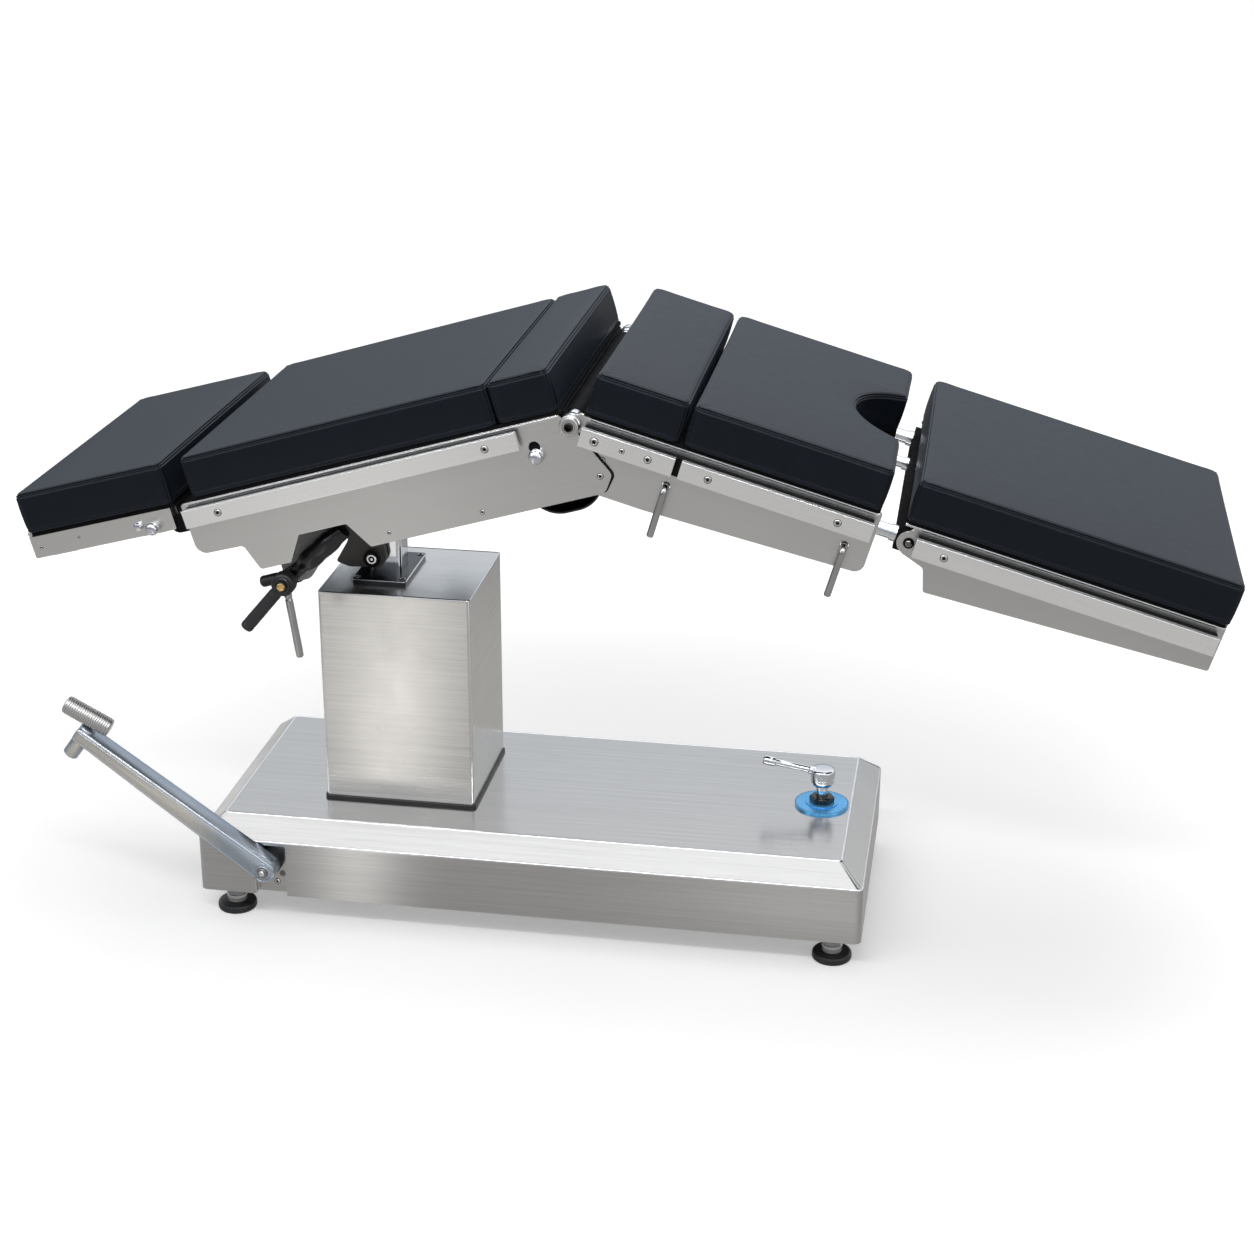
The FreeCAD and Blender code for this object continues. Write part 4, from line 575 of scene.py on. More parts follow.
def cushionPoints(x, y, z, low, high, s):
    # a box's surface points, carried to the cushion: corners rounded in plan, edges rounded in height,
    # sides drawn in between the corners, top crowned, and the seams pressed in along the edges
    half = s["halfWidth"]
    corner = s["corner"]
    middle = (low + high) / 2
    reachX = (high - low) / 2
    centreX = np.clip(x, low + corner, high - corner)
    centreY = np.clip(y, -half + corner, half - corner)
    vx = x - centreX
    vy = y - centreY
    most = np.maximum(np.abs(vx), np.abs(vy))
    depth = corner - most                      # distance in from the side, up to the corner's radius
    onTop = z >= s["top"] - 1e-6
    onFoot = z <= s["bottom"] + 1e-6
    onSide = ~(onTop | onFoot)
    newDepth = depth.copy()
    newZ = z.copy()
    seam = np.where(onTop, np.minimum(half - np.abs(y), reachX - np.abs(x - middle)), z - s["top"])
    rise = seamRise(seam)
    edge = s["edge"]
    # the top edge: both faces bend onto one arc
    bent = onTop & (depth < edge)
    reach = np.hypot(edge - depth, edge)
    outward = np.where(bent, (edge - depth) / reach, 0.0)
    upward = np.where(bent, edge / reach, np.where(onTop, 1.0, 0.0))
    newDepth = np.where(bent, edge - edge * outward, newDepth)
    newZ = np.where(bent, s["top"] - edge + edge * upward, newZ)
    fall = s["top"] - z
    bentSide = onSide & (fall < edge)
    reach = np.hypot(edge - fall, edge)
    outward = np.where(bentSide, edge / reach, np.where(onSide, 1.0, outward))
    upward = np.where(bentSide, (edge - fall) / reach, upward)
    newDepth = np.where(bentSide, edge - edge * outward, newDepth)
    newZ = np.where(bentSide, s["top"] - edge + edge * upward, newZ)
    # the foot: a smaller arc
    foot = s["foot"]
    up = z - s["bottom"]
    bentFoot = onSide & (up < foot)
    reach = np.hypot(foot - up, foot)
    newDepth = np.where(bentFoot, foot - foot * foot / reach, newDepth)
    newZ = np.where(bentFoot, s["bottom"] + foot - foot * (foot - up) / reach, newZ)
    under = onFoot & (depth < foot)
    reach = np.hypot(foot - depth, foot)
    newDepth = np.where(under, foot - foot * (foot - depth) / reach, newDepth)
    newZ = np.where(under, s["bottom"] + foot - foot * foot / reach, newZ)
    rise = rise + np.where(onSide, -0.7 * bell(z - s["bottom"] - 6.5, 1.1), 0.0)
    # a standing seam down each corner, and a pinch where it meets the top
    angle = np.degrees(np.arctan2(np.minimum(np.abs(vx), np.abs(vy)), most + 1e-9))
    atCorner = (np.abs(vx) > 1e-6) & (np.abs(vy) > 1e-6)
    offSeam = (45 - angle) / 57.3 * corner
    standing = -1.1 * bell(offSeam, 1.1) + 0.5 * bell(np.abs(offSeam) - 2.6, 1.2)
    rise = rise + np.where(atCorner & onSide & ~bentFoot, standing, 0.0)
    toCorner = np.hypot(reachX - 6 - np.abs(x - middle), half - 6 - np.abs(y))
    lines = np.sin(np.arctan2(half - np.abs(y), reachX - np.abs(x - middle) + 1e-9) * 7)
    rise = rise + np.where(onTop, 0.5 * lines * bell(toCorner - 12, 10), 0.0)
    # the sides draw in, the top swells
    tall = (z - s["bottom"]) / (s["top"] - s["bottom"])
    lengthwise = np.clip(1 - ((x - middle) / reachX) ** 4, 0, 1)
    crosswise = np.clip(1 - (y / half) ** 4, 0, 1)
    draw = s["pullIn"] * np.where(np.abs(vy) >= np.abs(vx), lengthwise, crosswise)
    swell = 1.3 * np.sin(math.pi * np.clip(tall, 0, 1)) * np.where(onSide, 1, 0)
    share = np.clip(1 - newDepth / 60, 0, 1)
    newDepth = newDepth + draw * share - swell - rise * outward
    newZ = newZ + rise * upward + np.where(onTop, s["crown"] * (lengthwise * crosswise) ** 0.75, 0)
    # back to plan: square rings about the corner become round ones
    newMost = corner - newDepth
    scale = np.where(most > 1e-9, newMost / np.maximum(most, 1e-9), 1.0)
    vx = vx * scale
    vy = vy * scale
    length = np.hypot(vx, vy)
    square = np.maximum(np.abs(vx), np.abs(vy))
    both = (np.abs(vx) > 1e-9) & (np.abs(vy) > 1e-9)
    shrink = np.where(both, square / np.maximum(length, 1e-9), 1.0)
    return centreX + vx * shrink, centreY + vy * shrink, newZ, seam


scoop = {"halfWidth": 117.0, "depth": 78.0, "lip": 9.0, "spread": 21.0, "end": 474.0, "square": 11.0}


def scoopCurve():
    # the outline of the scoop by its length: straight, a small lip arc, the large arc, and the same again
    arcHalf = scoop["halfWidth"]
    radius = (arcHalf ** 2 + scoop["depth"] ** 2) / (2 * scoop["depth"])
    centre = scoop["end"] + radius - scoop["depth"]
    angle = math.asin(arcHalf / radius)
    sweep = np.linspace(-angle, angle, 241)
    arc = np.column_stack([centre - radius * np.cos(sweep), radius * np.sin(sweep)])
    edge = arcHalf + scoop["spread"]
    line = np.concatenate([[[scoop["end"], -edge]], arc, [[scoop["end"], edge]]])
    length = np.concatenate([[0], np.cumsum(np.hypot(*np.diff(line, axis=0).T))])
    even = np.linspace(0, length[-1], 1600)
    path = np.column_stack([np.interp(even, length, line[:, 0]), np.interp(even, length, line[:, 1])])
    window = int(scoop["lip"] * 1.6 / (length[-1] / 1600))
    kernel = np.hanning(window * 2 + 1)
    kernel /= kernel.sum()
    padded = np.pad(path, ((window, window), (0, 0)), mode="reflect", reflect_type="odd")
    path = np.column_stack([np.convolve(padded[:, k], kernel, "valid") for k in (0, 1)])
    tangent = np.gradient(path, axis=0)
    tangent /= np.linalg.norm(tangent, axis=1)[:, None]
    return path, np.column_stack([-tangent[:, 1], tangent[:, 0]]), length[-1]


def scooped(x, y):
    # points near the end ride on the scoop's outline and its inward normal; further in the warp fades out
    path, inward, length = scoopCurve()
    edge = scoop["halfWidth"] + scoop["spread"]
    place = np.clip((y + edge) / (2 * edge), 0, 1)
    step = np.linspace(0, 1, len(path))
    bx, by = np.interp(place, step, path[:, 0]), np.interp(place, step, path[:, 1])
    nx, ny = np.interp(place, step, inward[:, 0]), np.interp(place, step, inward[:, 1])
    depth = scoop["end"] - x
    inside = np.abs(y) < edge
    # square to the outline for the rolled edge, then straight along the table, so that no lines cross
    square = scoop["square"] * (1 - np.exp(-np.clip(depth, 0, None) / scoop["square"]))
    onCurveX = bx + nx * square - (depth - square)
    onCurveY = by + ny * square
    fade = np.clip((depth - 20) / 170, 0, 1)
    fade = 1 - fade * fade * (3 - 2 * fade)
    return np.where(inside, x + (onCurveX - x) * fade, x), np.where(inside, y + (onCurveY - y) * fade, y)


def makeCushion(name, data):
    # six grids of box points, carried through cushionPoints and then to the section
    s = dict(cushionShape)
    low = data["ends"][0] + s["endGap"]
    high = data["ends"][1] - s["endGap"]
    half = s["halfWidth"]
    xs = ticks(low, high, s["nearEdge"], s["coarse"])
    ys = ticks(-half, half, s["nearEdge"], s["coarse"] if not data.get("scoop") else 6.0)
    zs = ticks(s["bottom"], s["top"], s["nearEdge"][:19], 5.0)
    sides = []
    for axis, level in (("z", s["top"]), ("z", s["bottom"]), ("x", low), ("x", high),
                        ("y", -half), ("y", half)):
        first, second = {"z": (xs, ys), "x": (ys, zs), "y": (xs, zs)}[axis]
        a, b = np.meshgrid(first, second, indexing="ij")
        flat = np.full_like(a, level)
        x, y, z = {"z": (a, b, flat), "x": (flat, a, b), "y": (a, flat, b)}[axis]
        newX, newY, newZ, seam = cushionPoints(x, y, z, low, high, s)
        inFromEnd = (high - low) / 2 - np.abs(x - (low + high) / 2)
        along = np.where(half - np.abs(y) < inFromEnd, x, y)
        if data.get("scoop"):
            newX, newY = scooped(newX + s["endGap"], newY)
        sides.append((np.stack([newX, newY, newZ], axis=2), seam, along))
    place = data["section"]
    patches = [(carried(points, place), False) for points, _, _ in sides]
    piece = makePiece(name, patches, padSkin, data["body"], sharp=60,
                      values={"seamDistance": [seam for _, seam, _ in sides],
                              "seamAlong": [along for _, _, along in sides]})
    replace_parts(piece, data["node"])
    return piece


for name, data in cushions.items():
    makeCushion(name, data)
print("cushions made")


# ---------- feet ----------

foot = {"radius": 32.4, "height": 13.6, "around": 72, "studTop": 60.0, "insetEnd": 48, "insetSide": 42}


def makeFoot(name, node, body, x, y):
    # a rubber disc with a groove round it, under a collar and a hexagon nut on a stud
    r, h = foot["radius"], foot["height"]
    place = shift(x * mm, y * mm, 0)
    disc = [(0, 0), (r - 3.5, 0), (r - 1.8, 0.5), (r - 0.6, 1.8), (r, 3.6), (r, 6.0), (r - 1.0, 6.6),
            (r - 1.0, 7.4), (r, 8.0), (r - 0.3, 10.2), (r - 1.6, 12.4), (r - 3.6, 13.4), (r - 6, h), (12, h),
            (11, h + 0.2), (0, h + 0.2)]
    rubber = turnedPiece(name, disc, place, rubberBlack, body, foot["around"])
    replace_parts(rubber, node)
    nut = [(0, h), (11.5, h), (12.0, h + 0.6), (12.0, h + 6.4), (11.2, h + 7.0), (7.9, h + 7.0),
           (7.9, foot["studTop"]), (0, foot["studTop"])]
    collar = [(11.5, h + 7), (16.0, h + 7), (17.0, h + 7.8), (17.0, h + 13.0), (15.6, h + 14.2),
              (7.9, h + 14.2), (7.9, h + 7), (11.5, h + 7)]
    hexagon = [False] + [True] * 4 + [False] * 3
    makePiece(name + "Stud", [turned(collar, place, 60), turned(nut, place, 60, hexagon)], satinMetal, body)


number = 0
for side, sideName in ((-1, "Front"), (1, "Rear")):
    for x, endName in ((baseLeft + foot["insetEnd"], "Left"),
                       (baseLeft + baseLong - foot["insetEnd"], "Right")):
        number += 1
        node = "foot_" + sideName.lower() + "_" + endName.lower()
        makeFoot("foot" + sideName + endName, node, f"foot_{number}", x, side * (baseHalf - foot["insetSide"]))
print("feet made")


# ---------- pump pedal ----------

pedal = {"x": baseLeft + 122, "z": 110, "slope": 36.5, "hub": 20.0, "tip": 12.5, "reach": 366, "near": -238.0,
         "far": -272.0, "stub": 13.0, "stubLength": 47.0, "treadRadius": 15.6, "treadLength": 83.0,
         "treadLift": 33.0, "treadSlope": 28.0, "rings": 19}
pedalPlace = shift(pedal["x"] * mm, 0, pedal["z"] * mm) @ turnAboutY(pedal["slope"])


def pedalOutline(grow=0.0):
    # the arm seen from the front: a round hub, straight tapering edges and a blunt round-cornered end
    hub = pedal["hub"] + grow
    tip = pedal["tip"] + grow
    end = -pedal["reach"] - pedal["stub"] - grow
    return roundedOutline([(hub * 0.995, -hub, hub * 0.96), (hub * 0.995, hub, hub * 0.96),
                           (end, tip, 6 + grow),
                           (end, -tip, 6 + grow)], 14)


# the outline is drawn in x and z and carried along -y, which faceFront turns it to
armPlace = pedalPlace @ faceFront
near, far = -pedal["near"], -pedal["far"]
armLayers = [(2.2, near), (0.6, near + 0.5), (0, near + 2.2), (0, far - 4.6), (0.5, far - 2.6),
             (1.9, far - 1.0), (3.6, far - 0.4), (4.2, far - 0.9), (5.0, far - 1.3), (5.6, far - 0.5),
             (6.4, far - 0.2)]
arm = makePiece("pedalArm", [lofted(pedalOutline(), armLayers, armPlace)], armPaint, "pedal")
stub = capped(pedal["stubLength"] + pedal["treadLift"] - 15, pedal["stub"], 7, 4.0)
middleY = (pedal["near"] + pedal["far"]) / 2
makePiece("pedalStub", [turned([(r, h - pedal["stubLength"]) for r, h in stub],
                               pedalPlace @ shift(-pedal["reach"] * mm, middleY * mm, 0), 64)],
          armPaint, "pedal")
ringLine = [(8.8, far - 2), (11.8, far - 2), (11.8, far + 0.6), (11.2, far + 1.4), (9.6, far + 1.4),
            (8.8, far + 0.6), (8.8, far - 2)]
outerRing = [(14.6, far - 2), (16.9, far - 2), (17.1, far + 0.3), (16.4, far + 0.9), (15.2, far + 0.9),
             (14.6, far + 0.3), (14.6, far - 2)]
makePiece("pedalHubRing", [turned(ringLine, armPlace, 64), turned(outerRing, armPlace, 72)], armPaint, "pedal")
seatLine = [(0, far - 2), (8.7, far - 2), (8.7, far + 2.6), (8.0, far + 3.4), (0, far + 3.4)]
turnedPiece("pedalBoltSeat", seatLine, armPlace, darkSatin, "pedal")
boltLine = [(0, far + 3), (4.8, far + 3), (5.0, far + 5.2), (4.2, far + 6.0), (2.0, far + 6.4),
            (1.7, far + 5.2), (0, far + 5.2)]
turnedPiece("pedalBolt", boltLine, armPlace, boltMetal, "pedal")


def treadProfile():
    # ribs as a rounded wave along the grip, with a plain round end at each side
    half = pedal["treadLength"] / 2
    r = pedal["treadRadius"]
    height = np.linspace(-half + 5.5, half - 5.5, pedal["rings"] * 10 + 1)
    wave = np.abs(np.sin((height + half - 5.5) / (2 * half - 11) * math.pi * pedal["rings"])) ** 0.6
    ribs = np.column_stack([r - 1.0 + 1.0 * wave, height])
    low = [(0, -half), (r - 5.0, -half), (r - 2.6, -half + 0.7), (r - 1.0, -half + 2.2), (r - 0.6, -half + 4.2),
           (r - 1.4, -half + 5.2)]
    return np.concatenate([low, ribs, [(a, -b) for a, b in low[::-1]]])


treadPlace = pedalPlace @ shift((-pedal["reach"] - 12.5) * mm, middleY * mm, pedal["treadLift"] * mm) \
    @ turnAboutY(pedal["treadSlope"] - pedal["slope"] + 90)
tread = makePiece("pedalTread", [turned(treadProfile(), treadPlace, 72)], satinMetal, "pedal", sharp=50)
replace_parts(arm, "pedal_arm")
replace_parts(tread, "pedal_tread")
print("pedal made")


# ---------- floor lock lever ----------

lock = {"x": baseLeft + 1013, "disc": 44.8, "hubLow": 216.0, "hubHeight": 30.0, "hubRadius": 20.6,
        "shaft": 10.2, "reach": 84.0, "rise": 9.0, "armHeight": 22.0, "armRadius": 5.9, "gripRadius": 8.3,
        "gripLength": 22.0}
lockPlace = shift(lock["x"] * mm, 0, 0)


def makeLockSeat():
    # what stays on the base: the dark rim of the blue disc, a washer and a hexagon collar
    z, r = baseTop, lock["disc"]
    rim = [(r - 1.6, z + 0.3), (r - 0.4, z + 0.3), (r, z + 0.7), (r, z + 3.4), (r - 0.4, z + 4.0),
           (r - 1.2, z + 4.1), (r - 1.6, z + 3.9), (r - 1.6, z + 0.3)]
    turnedPiece("lockDiscRim", rim, lockPlace, darkMetal, "base", 128)
    washer = [(15.4, z + 3.9), (26.5, z + 3.9), (27.0, z + 4.4), (27.0, z + 5.4), (26.4, z + 6.0),
              (15.4, z + 6.0), (15.4, z + 3.9)]
    turnedPiece("lockWasher", washer, lockPlace, discBlue, "base", 96)
    collar = [(10.6, z + 6.0), (17.2, z + 6.0), (18.2, z + 7.0), (18.2, z + 14.5), (17.0, z + 16.4),
              (14.0, z + 17.6), (10.6, z + 17.6), (10.6, z + 6.0)]
    hexagon = [False] + [True] * 3 + [False] * 4
    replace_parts(turnedPiece("lockCollar", collar, lockPlace, blackGloss, "base", 96, hexagon), "lock_nut")


def makeLockLever():
    # a turned hub on its spindle, and an arm that rises to a thicker grip
    low, h, shaft = lock["hubLow"], lock["hubRadius"], lock["shaft"]
    top = low + lock["hubHeight"]
    spindle = [(0, 100), (shaft - 0.4, 100), (shaft - 0.4, baseTop + 18.0), (shaft, baseTop + 19.0),
               (shaft, low - 4), (shaft + 3.2, low - 2.6), (shaft + 3.4, low), (h - 3.6, low + 0.4),
               (h - 1.2, low + 3.4), (h - 0.2, low + 8.0), (h, low + 10.5), (h, low + 12.2),
               (h - 0.8, low + 12.6), (h - 0.8, low + 13.4), (h, low + 13.8), (h, top - 5.5),
               (h - 0.5, top - 3.4), (h - 2.0, top - 1.5), (h - 4.6, top - 0.5), (h - 9.0, top - 0.1), (0, top)]
    lever = turnedPiece("lockLever", spindle, lockPlace, chrome, "lock", 96)
    arm, grip = lock["armRadius"], lock["gripRadius"]
    neck, tip = lock["reach"], lock["reach"] + lock["gripLength"]
    line = [(0, h * 0.6), (arm + 1.6, h * 0.6), (arm + 1.6, h + 1.6), (arm + 0.4, h + 3.0), (arm, h + 4.0),
            (arm, neck - 6), (arm + 0.5, neck - 4.5), (grip - 0.8, neck - 3.8), (grip, neck - 2.4),
            (grip, tip - 8.5), (grip - 0.6, tip - 6.2), (grip - 2.4, tip - 4.4), (0, tip - 4)]
    upwards = lockPlace @ shift(0, 0, (low + lock["armHeight"]) * mm) @ turnAboutY(lock["rise"] - 90)
    turnedPiece("lockArm", line, upwards, chrome, "lock")
    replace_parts(lever, "lock_lever")


makeLockSeat()
makeLockLever()
print("lock made")


# ---------- control levers under the back section ----------

levers = {"x": -517.0, "z": -142.0, "handleSlope": 33.5, "handleHub": 18.6, "handleTip": 10.6,
          "handleReach": 103.0, "handleFront": 273.6, "handleDepth": 23.4, "releaseLean": 8.5,
          "releaseY": -241.0, "releaseSide": 5.0, "gripY": -224.0, "sleeveLean": 26.5, "sleeveY": -232.0}


def leverPlace(degrees):
    return at(backSection, levers["x"], 0, levers["z"]) @ turnAboutY(degrees)


def handleTube():
    # an oval grip whose half height and half width swell from the neck to the tip, closed round at both ends
    reach = levers["handleReach"]
    share = np.linspace(0, 1, 60)
    wide = levers["handleTip"] - 0.6 + 0.5 * share
    rounding = np.clip(1 - ((share - 0.97) / 0.03).clip(0) ** 2, 0, 1) ** 0.5
    groove = 0.7 * bell(share - 0.90, 0.010) + 0.5 * bell(share - 0.2, 0.02)
    radius = (wide - groove) * rounding
    radius[0] = 0
    angle = np.linspace(0, 2 * math.pi, 48, endpoint=False)
    x = -np.repeat((share * reach)[:, None], len(angle), 1)
    y = -(levers["handleFront"] - levers["handleDepth"] / 2) + radius[:, None] * np.cos(angle) * 1.02
    z = radius[:, None] * np.sin(angle)
    return carried(np.stack([x, y, z], axis=2), leverPlace(-levers["handleSlope"])), True


def makeHandle():
    # the hub with its black face and brass screw, the oval grip, and the grey cap at the grip's end
    front, depth, hub = levers["handleFront"], levers["handleDepth"], levers["handleHub"]
    facing = leverPlace(0) @ faceFront
    face = [(9.0, front - 2), (13.0, front - 2), (13.4, front + 0.6), (12.4, front + 1.4), (9.4, front + 1.4),
            (9.0, front - 2)]
    turnedPiece("handleFace", face, facing, blackGloss, "handle", 60)
    hubLine = [(0, front - depth), (hub - 2.4, front - depth), (hub - 0.8, front - depth + 0.8),
               (hub, front - depth + 2.6), (hub, front - 4.6), (hub - 0.8, front - 2.4),
               (hub - 2.6, front - 0.9), (hub - 4.6, front - 0.4), (hub - 5.4, front - 1.2), (9.4, front - 1.2),
               (0, front - 1.2)]
    handle = makePiece("tiltHandle", [turned(hubLine, facing, 72), handleTube()], gripBlack, "handle", sharp=40)
    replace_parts(handle, "tilt_handle")
    screw = [(0, front + 1), (6.2, front + 1), (6.4, front + 5.0), (5.8, front + 6.6), (4.8, front + 7.2),
             (3.0, front + 7.2), (2.8, front + 5.6), (0, front + 5.6)]
    hexagon = [False] + [True] * 6 + [False]
    turnedPiece("handleScrew", screw, facing, brass, "handle", 60, hexagon)
    cap = [(0, -2.6), (9.4, -2.6), (9.9, -1.6), (9.7, 0.2), (8.4, 0.9), (0, 1.1)]
    tip = shift(-(levers["handleReach"] - 1.4) * mm, -(front - depth / 2) * mm, 0)
    turnedPiece("handleEnd", cap, leverPlace(-levers["handleSlope"]) @ tip @ turnAboutY(-90), satinMetal,
                "handle")


def makeRelease():
    # a bright rod with a faint wave along it, on a black hub
    rod = [(0, 4), (6.0, 4), (6.2, 30), (5.4, 31.2), (5.4, 33.0), (6.1, 34.2)]
    rod += [(6.1 + 0.15 * math.sin(k), 36 + k * 9.2) for k in range(10)]
    rod += [(5.9, 129.6), (4.6, 131.4), (0, 132)]
    place = leverPlace(levers["releaseLean"] - 90) @ shift(0, levers["releaseY"] * mm,
                                                           levers["releaseSide"] * mm)
    release = turnedPiece("releaseRod", rod, place @ turnAboutY(-90), rodMetal, "release", 40)
    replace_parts(release, "release_rod")
    hub = [(0, 234), (12.2, 234), (12.9, 234.8), (12.9, 247.2), (12.2, 248), (8.2, 248), (0, 248)]
    turnedPiece("releaseHub", hub, leverPlace(0) @ faceFront, blackGloss, "release", 60)


def makeShortGrip():
    # a plain grip and its hub, and the waisted sleeve over the shaft
    line = [(0, 6), (7.2, 6), (7.4, 18), (8.4, 20), (9.3, 22.5), (9.4, 30), (9.1, 38), (9.3, 46), (8.6, 49.4),
            (6.6, 51.4), (0, 52)]
    hub = [(0, 216.2), (12.2, 216.2), (12.9, 217), (12.9, 231), (12.2, 231.8), (8.2, 231.8), (0, 231.8)]
    place = leverPlace(0) @ shift(0, levers["gripY"] * mm, 0) @ turnAboutY(-90)
    patches = [turned(line, place, 48), turned(hub, leverPlace(0) @ faceFront, 60)]
    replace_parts(makePiece("shortGrip", patches, gripBlack, "grip"), "short_grip")
    sleeve = [(0, 17), (11.5, 17), (12.5, 18), (12.5, 26), (12.2, 29), (13.4, 33), (15.6, 38), (16.8, 44),
              (17.2, 52), (17.0, 60), (16.2, 66), (16.4, 72), (17.2, 80), (17.4, 90), (16.8, 98), (15.4, 104),
              (14.8, 110), (14.8, 120), (13.6, 124), (0, 125)]
    along = leverPlace(0) @ shift(0, levers["sleeveY"] * mm, 0) @ turnAboutY(90 - levers["sleeveLean"])
    turnedPiece("leverSleeve", sleeve, along, blackGloss, "back", 56)


makeHandle()
makeRelease()
makeShortGrip()
print("control levers made")


# ---------- seat levers ----------

seatLever = {"places": {"seatLeverNear": ("seat_lever_near", "near_lever", 162),
                        "seatLeverFar": ("seat_lever_far", "far_lever", 440)},
             "drop": -45.0, "line": -278.0, "inner": -244.0, "radius": 5.4, "reach": 77.6, "bend": 9.0}
for name, (node, body, x) in seatLever["places"].items():
    bend = seatLever["bend"]
    turnSteps = np.linspace(0, math.pi / 2, 9)
    corner = [(x, seatLever["line"] + bend - bend * math.sin(a), seatLever["drop"] - bend + bend * math.cos(a))
              for a in turnSteps]
    straight = [(x, y, seatLever["drop"]) for y in np.linspace(seatLever["inner"], seatLever["line"] + bend + 1,
                                                               6)]
    down = [(x, seatLever["line"], z) for z in np.linspace(seatLever["drop"] - bend - 1,
                                                           seatLever["drop"] - seatLever["reach"], 16)]
    path = straight + corner + down
    radii = np.full(len(path), seatLever["radius"])
    path = [path[0]] + path + [(x, seatLever["line"],
                                seatLever["drop"] - seatLever["reach"] + d) for d in (-1.2, -1.8, -2.0)]
    radii = np.concatenate([[0.01], radii, [4.6, 3.0, 0.01]])
    path = np.array(path, float)
    path[0, 1] += 0.05
    lever = makePiece(name, [tubed(path, radii, seatSection, 36)], rodMetal, body)
    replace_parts(lever, node)
print("seat levers made")


# ---------- catch knob, head knobs, crank socket ----------

catchPlace = at(backSection, -62, 0, -33, faceFront)
headKnobPlace = at(headSection, -690, 0, -7, faceFront)
smallKnobPlace = at(headSection, -713, 0, 0, faceFront)
hingeFront, hingeRear = at(backSection, 0, 0, 0, faceFront), at(backSection, 0, 0, 0, faceBack)


def makeKnobs():
    # each one a turned stem and a domed cap with a groove round it
    line = [(0, 264.95), (7.8, 264.95), (7.8, 265.4), (3.8, 265.6), (3.8, 271.6), (10.6, 271.8), (11.6, 272.6),
            (11.9, 274.0), (11.9, 276.4), (11.2, 277.2), (11.2, 278.0), (11.8, 278.8), (11.2, 282.6),
            (9.6, 285.8), (7.0, 288.2), (3.6, 289.2), (0, 289.4)]
    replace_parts(turnedPiece("catchKnob", line, catchPlace, chrome, "catch", 72), "catch_knob")
    line = [(0, 255), (4.8, 255), (4.8, 264.4), (9.4, 264.6), (10.3, 265.4), (10.3, 270.8), (9.7, 271.4),
            (9.7, 272.2), (10.3, 272.8), (10.2, 276.8), (9.0, 279.6), (6.6, 281.6), (3.2, 282.2), (0, 282.3)]
    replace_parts(turnedPiece("headKnob", line, headKnobPlace, chrome, "head_turn", 72), "head_knob")
    line = [(0, 262), (4, 262), (4, 264.4), (6.4, 264.6), (7.4, 265.4), (7.4, 271.0), (6.4, 274.2),
            (3.4, 275.6), (0, 275.8)]
    turnedPiece("headKnobSmall", line, smallKnobPlace, chrome, "head", 56)


def makePivot():
    # the crank's hexagon inside the pivot pin, the pin's rings at both sides, and a dark ring of painted shade
    # in the mouth at the front
    line = [(0, 232.4), (10.9, 232.4), (10.9, 249), (6.9, 249.4), (6.9, 285.2), (6.4, 285.9), (4.7, 285.9),
            (4.5, 285.2), (4.5, 273), (0, 272)]
    hexagon = [False] * 6 + [True] * 3 + [False]
    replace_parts(turnedPiece("crankSocket", line, hingeFront, darkMetal, "crank", 60, hexagon), "crank_socket")
    ring = [(7.3, 270.4), (15.6, 270.4), (16.0, 271.2), (16.0, 272.6), (15.2, 273.4), (14.4, 274.0),
            (14.4, 279.6), (13.6, 280.6), (14.5, 281.4), (14.6, 283.2), (13.8, 284.1), (9.6, 284.3),
            (9.0, 283.6), (9.0, 276.0), (7.3, 276.0), (7.3, 270.4)]
    turnedPiece("pinRingFront", ring, hingeFront, boltMetal, "back", 72)
    turnedPiece("pinRingRear", [(0.0, 270.4)] + ring[1:11] + [(0.0, 284.1)], hingeRear, boltMetal, "back", 72)
    shadedMouth = [(7.0, 275.0), (9.1, 275.0), (9.1, 281.0), (8.4, 281.6), (7.3, 281.6), (7.0, 281.0), (7.0, 275.0)]
    turnedPiece("pinMouthShade", shadedMouth, hingeFront, shadowBlack, "back")


makeKnobs()
makePivot()
print("knobs made")


# ---------- screws ----------

screws = {
    "screwsBack": ("back", backSection, [(-131, railFace, -1, 4.7), (-569, railFace, -1, 4.7),
                                         (-170, backPlateFace, -99, 3.0), (22, backPlateFace, -86, 4.0),
                                         (-322, backPlateFace, -98, 2.6)]),
    "screwsSeat": ("seat", seatSection, [(43, railFace, -6, 5.2), (126, railFace, -6, 4.7),
                                         (86, railFace, -6, 3.4),
                                         (219, railFace, -6, 4.7), (419, railFace, -6, 4.7),
                                         (60, seatPlateFace, -38, 4.0)]),
    "screwsLeg": ("leg", legSection, [(582, railFace, -6, 4.7)]),
    "screwsHead": ("head", headSection, [(-884, seatPlateFace, -2, 2.4), (-817, seatPlateFace, 2, 1.8)]),
}
pedalScrew = {"x": baseLeft + 134.7, "z": 76.7, "size": 4.0}


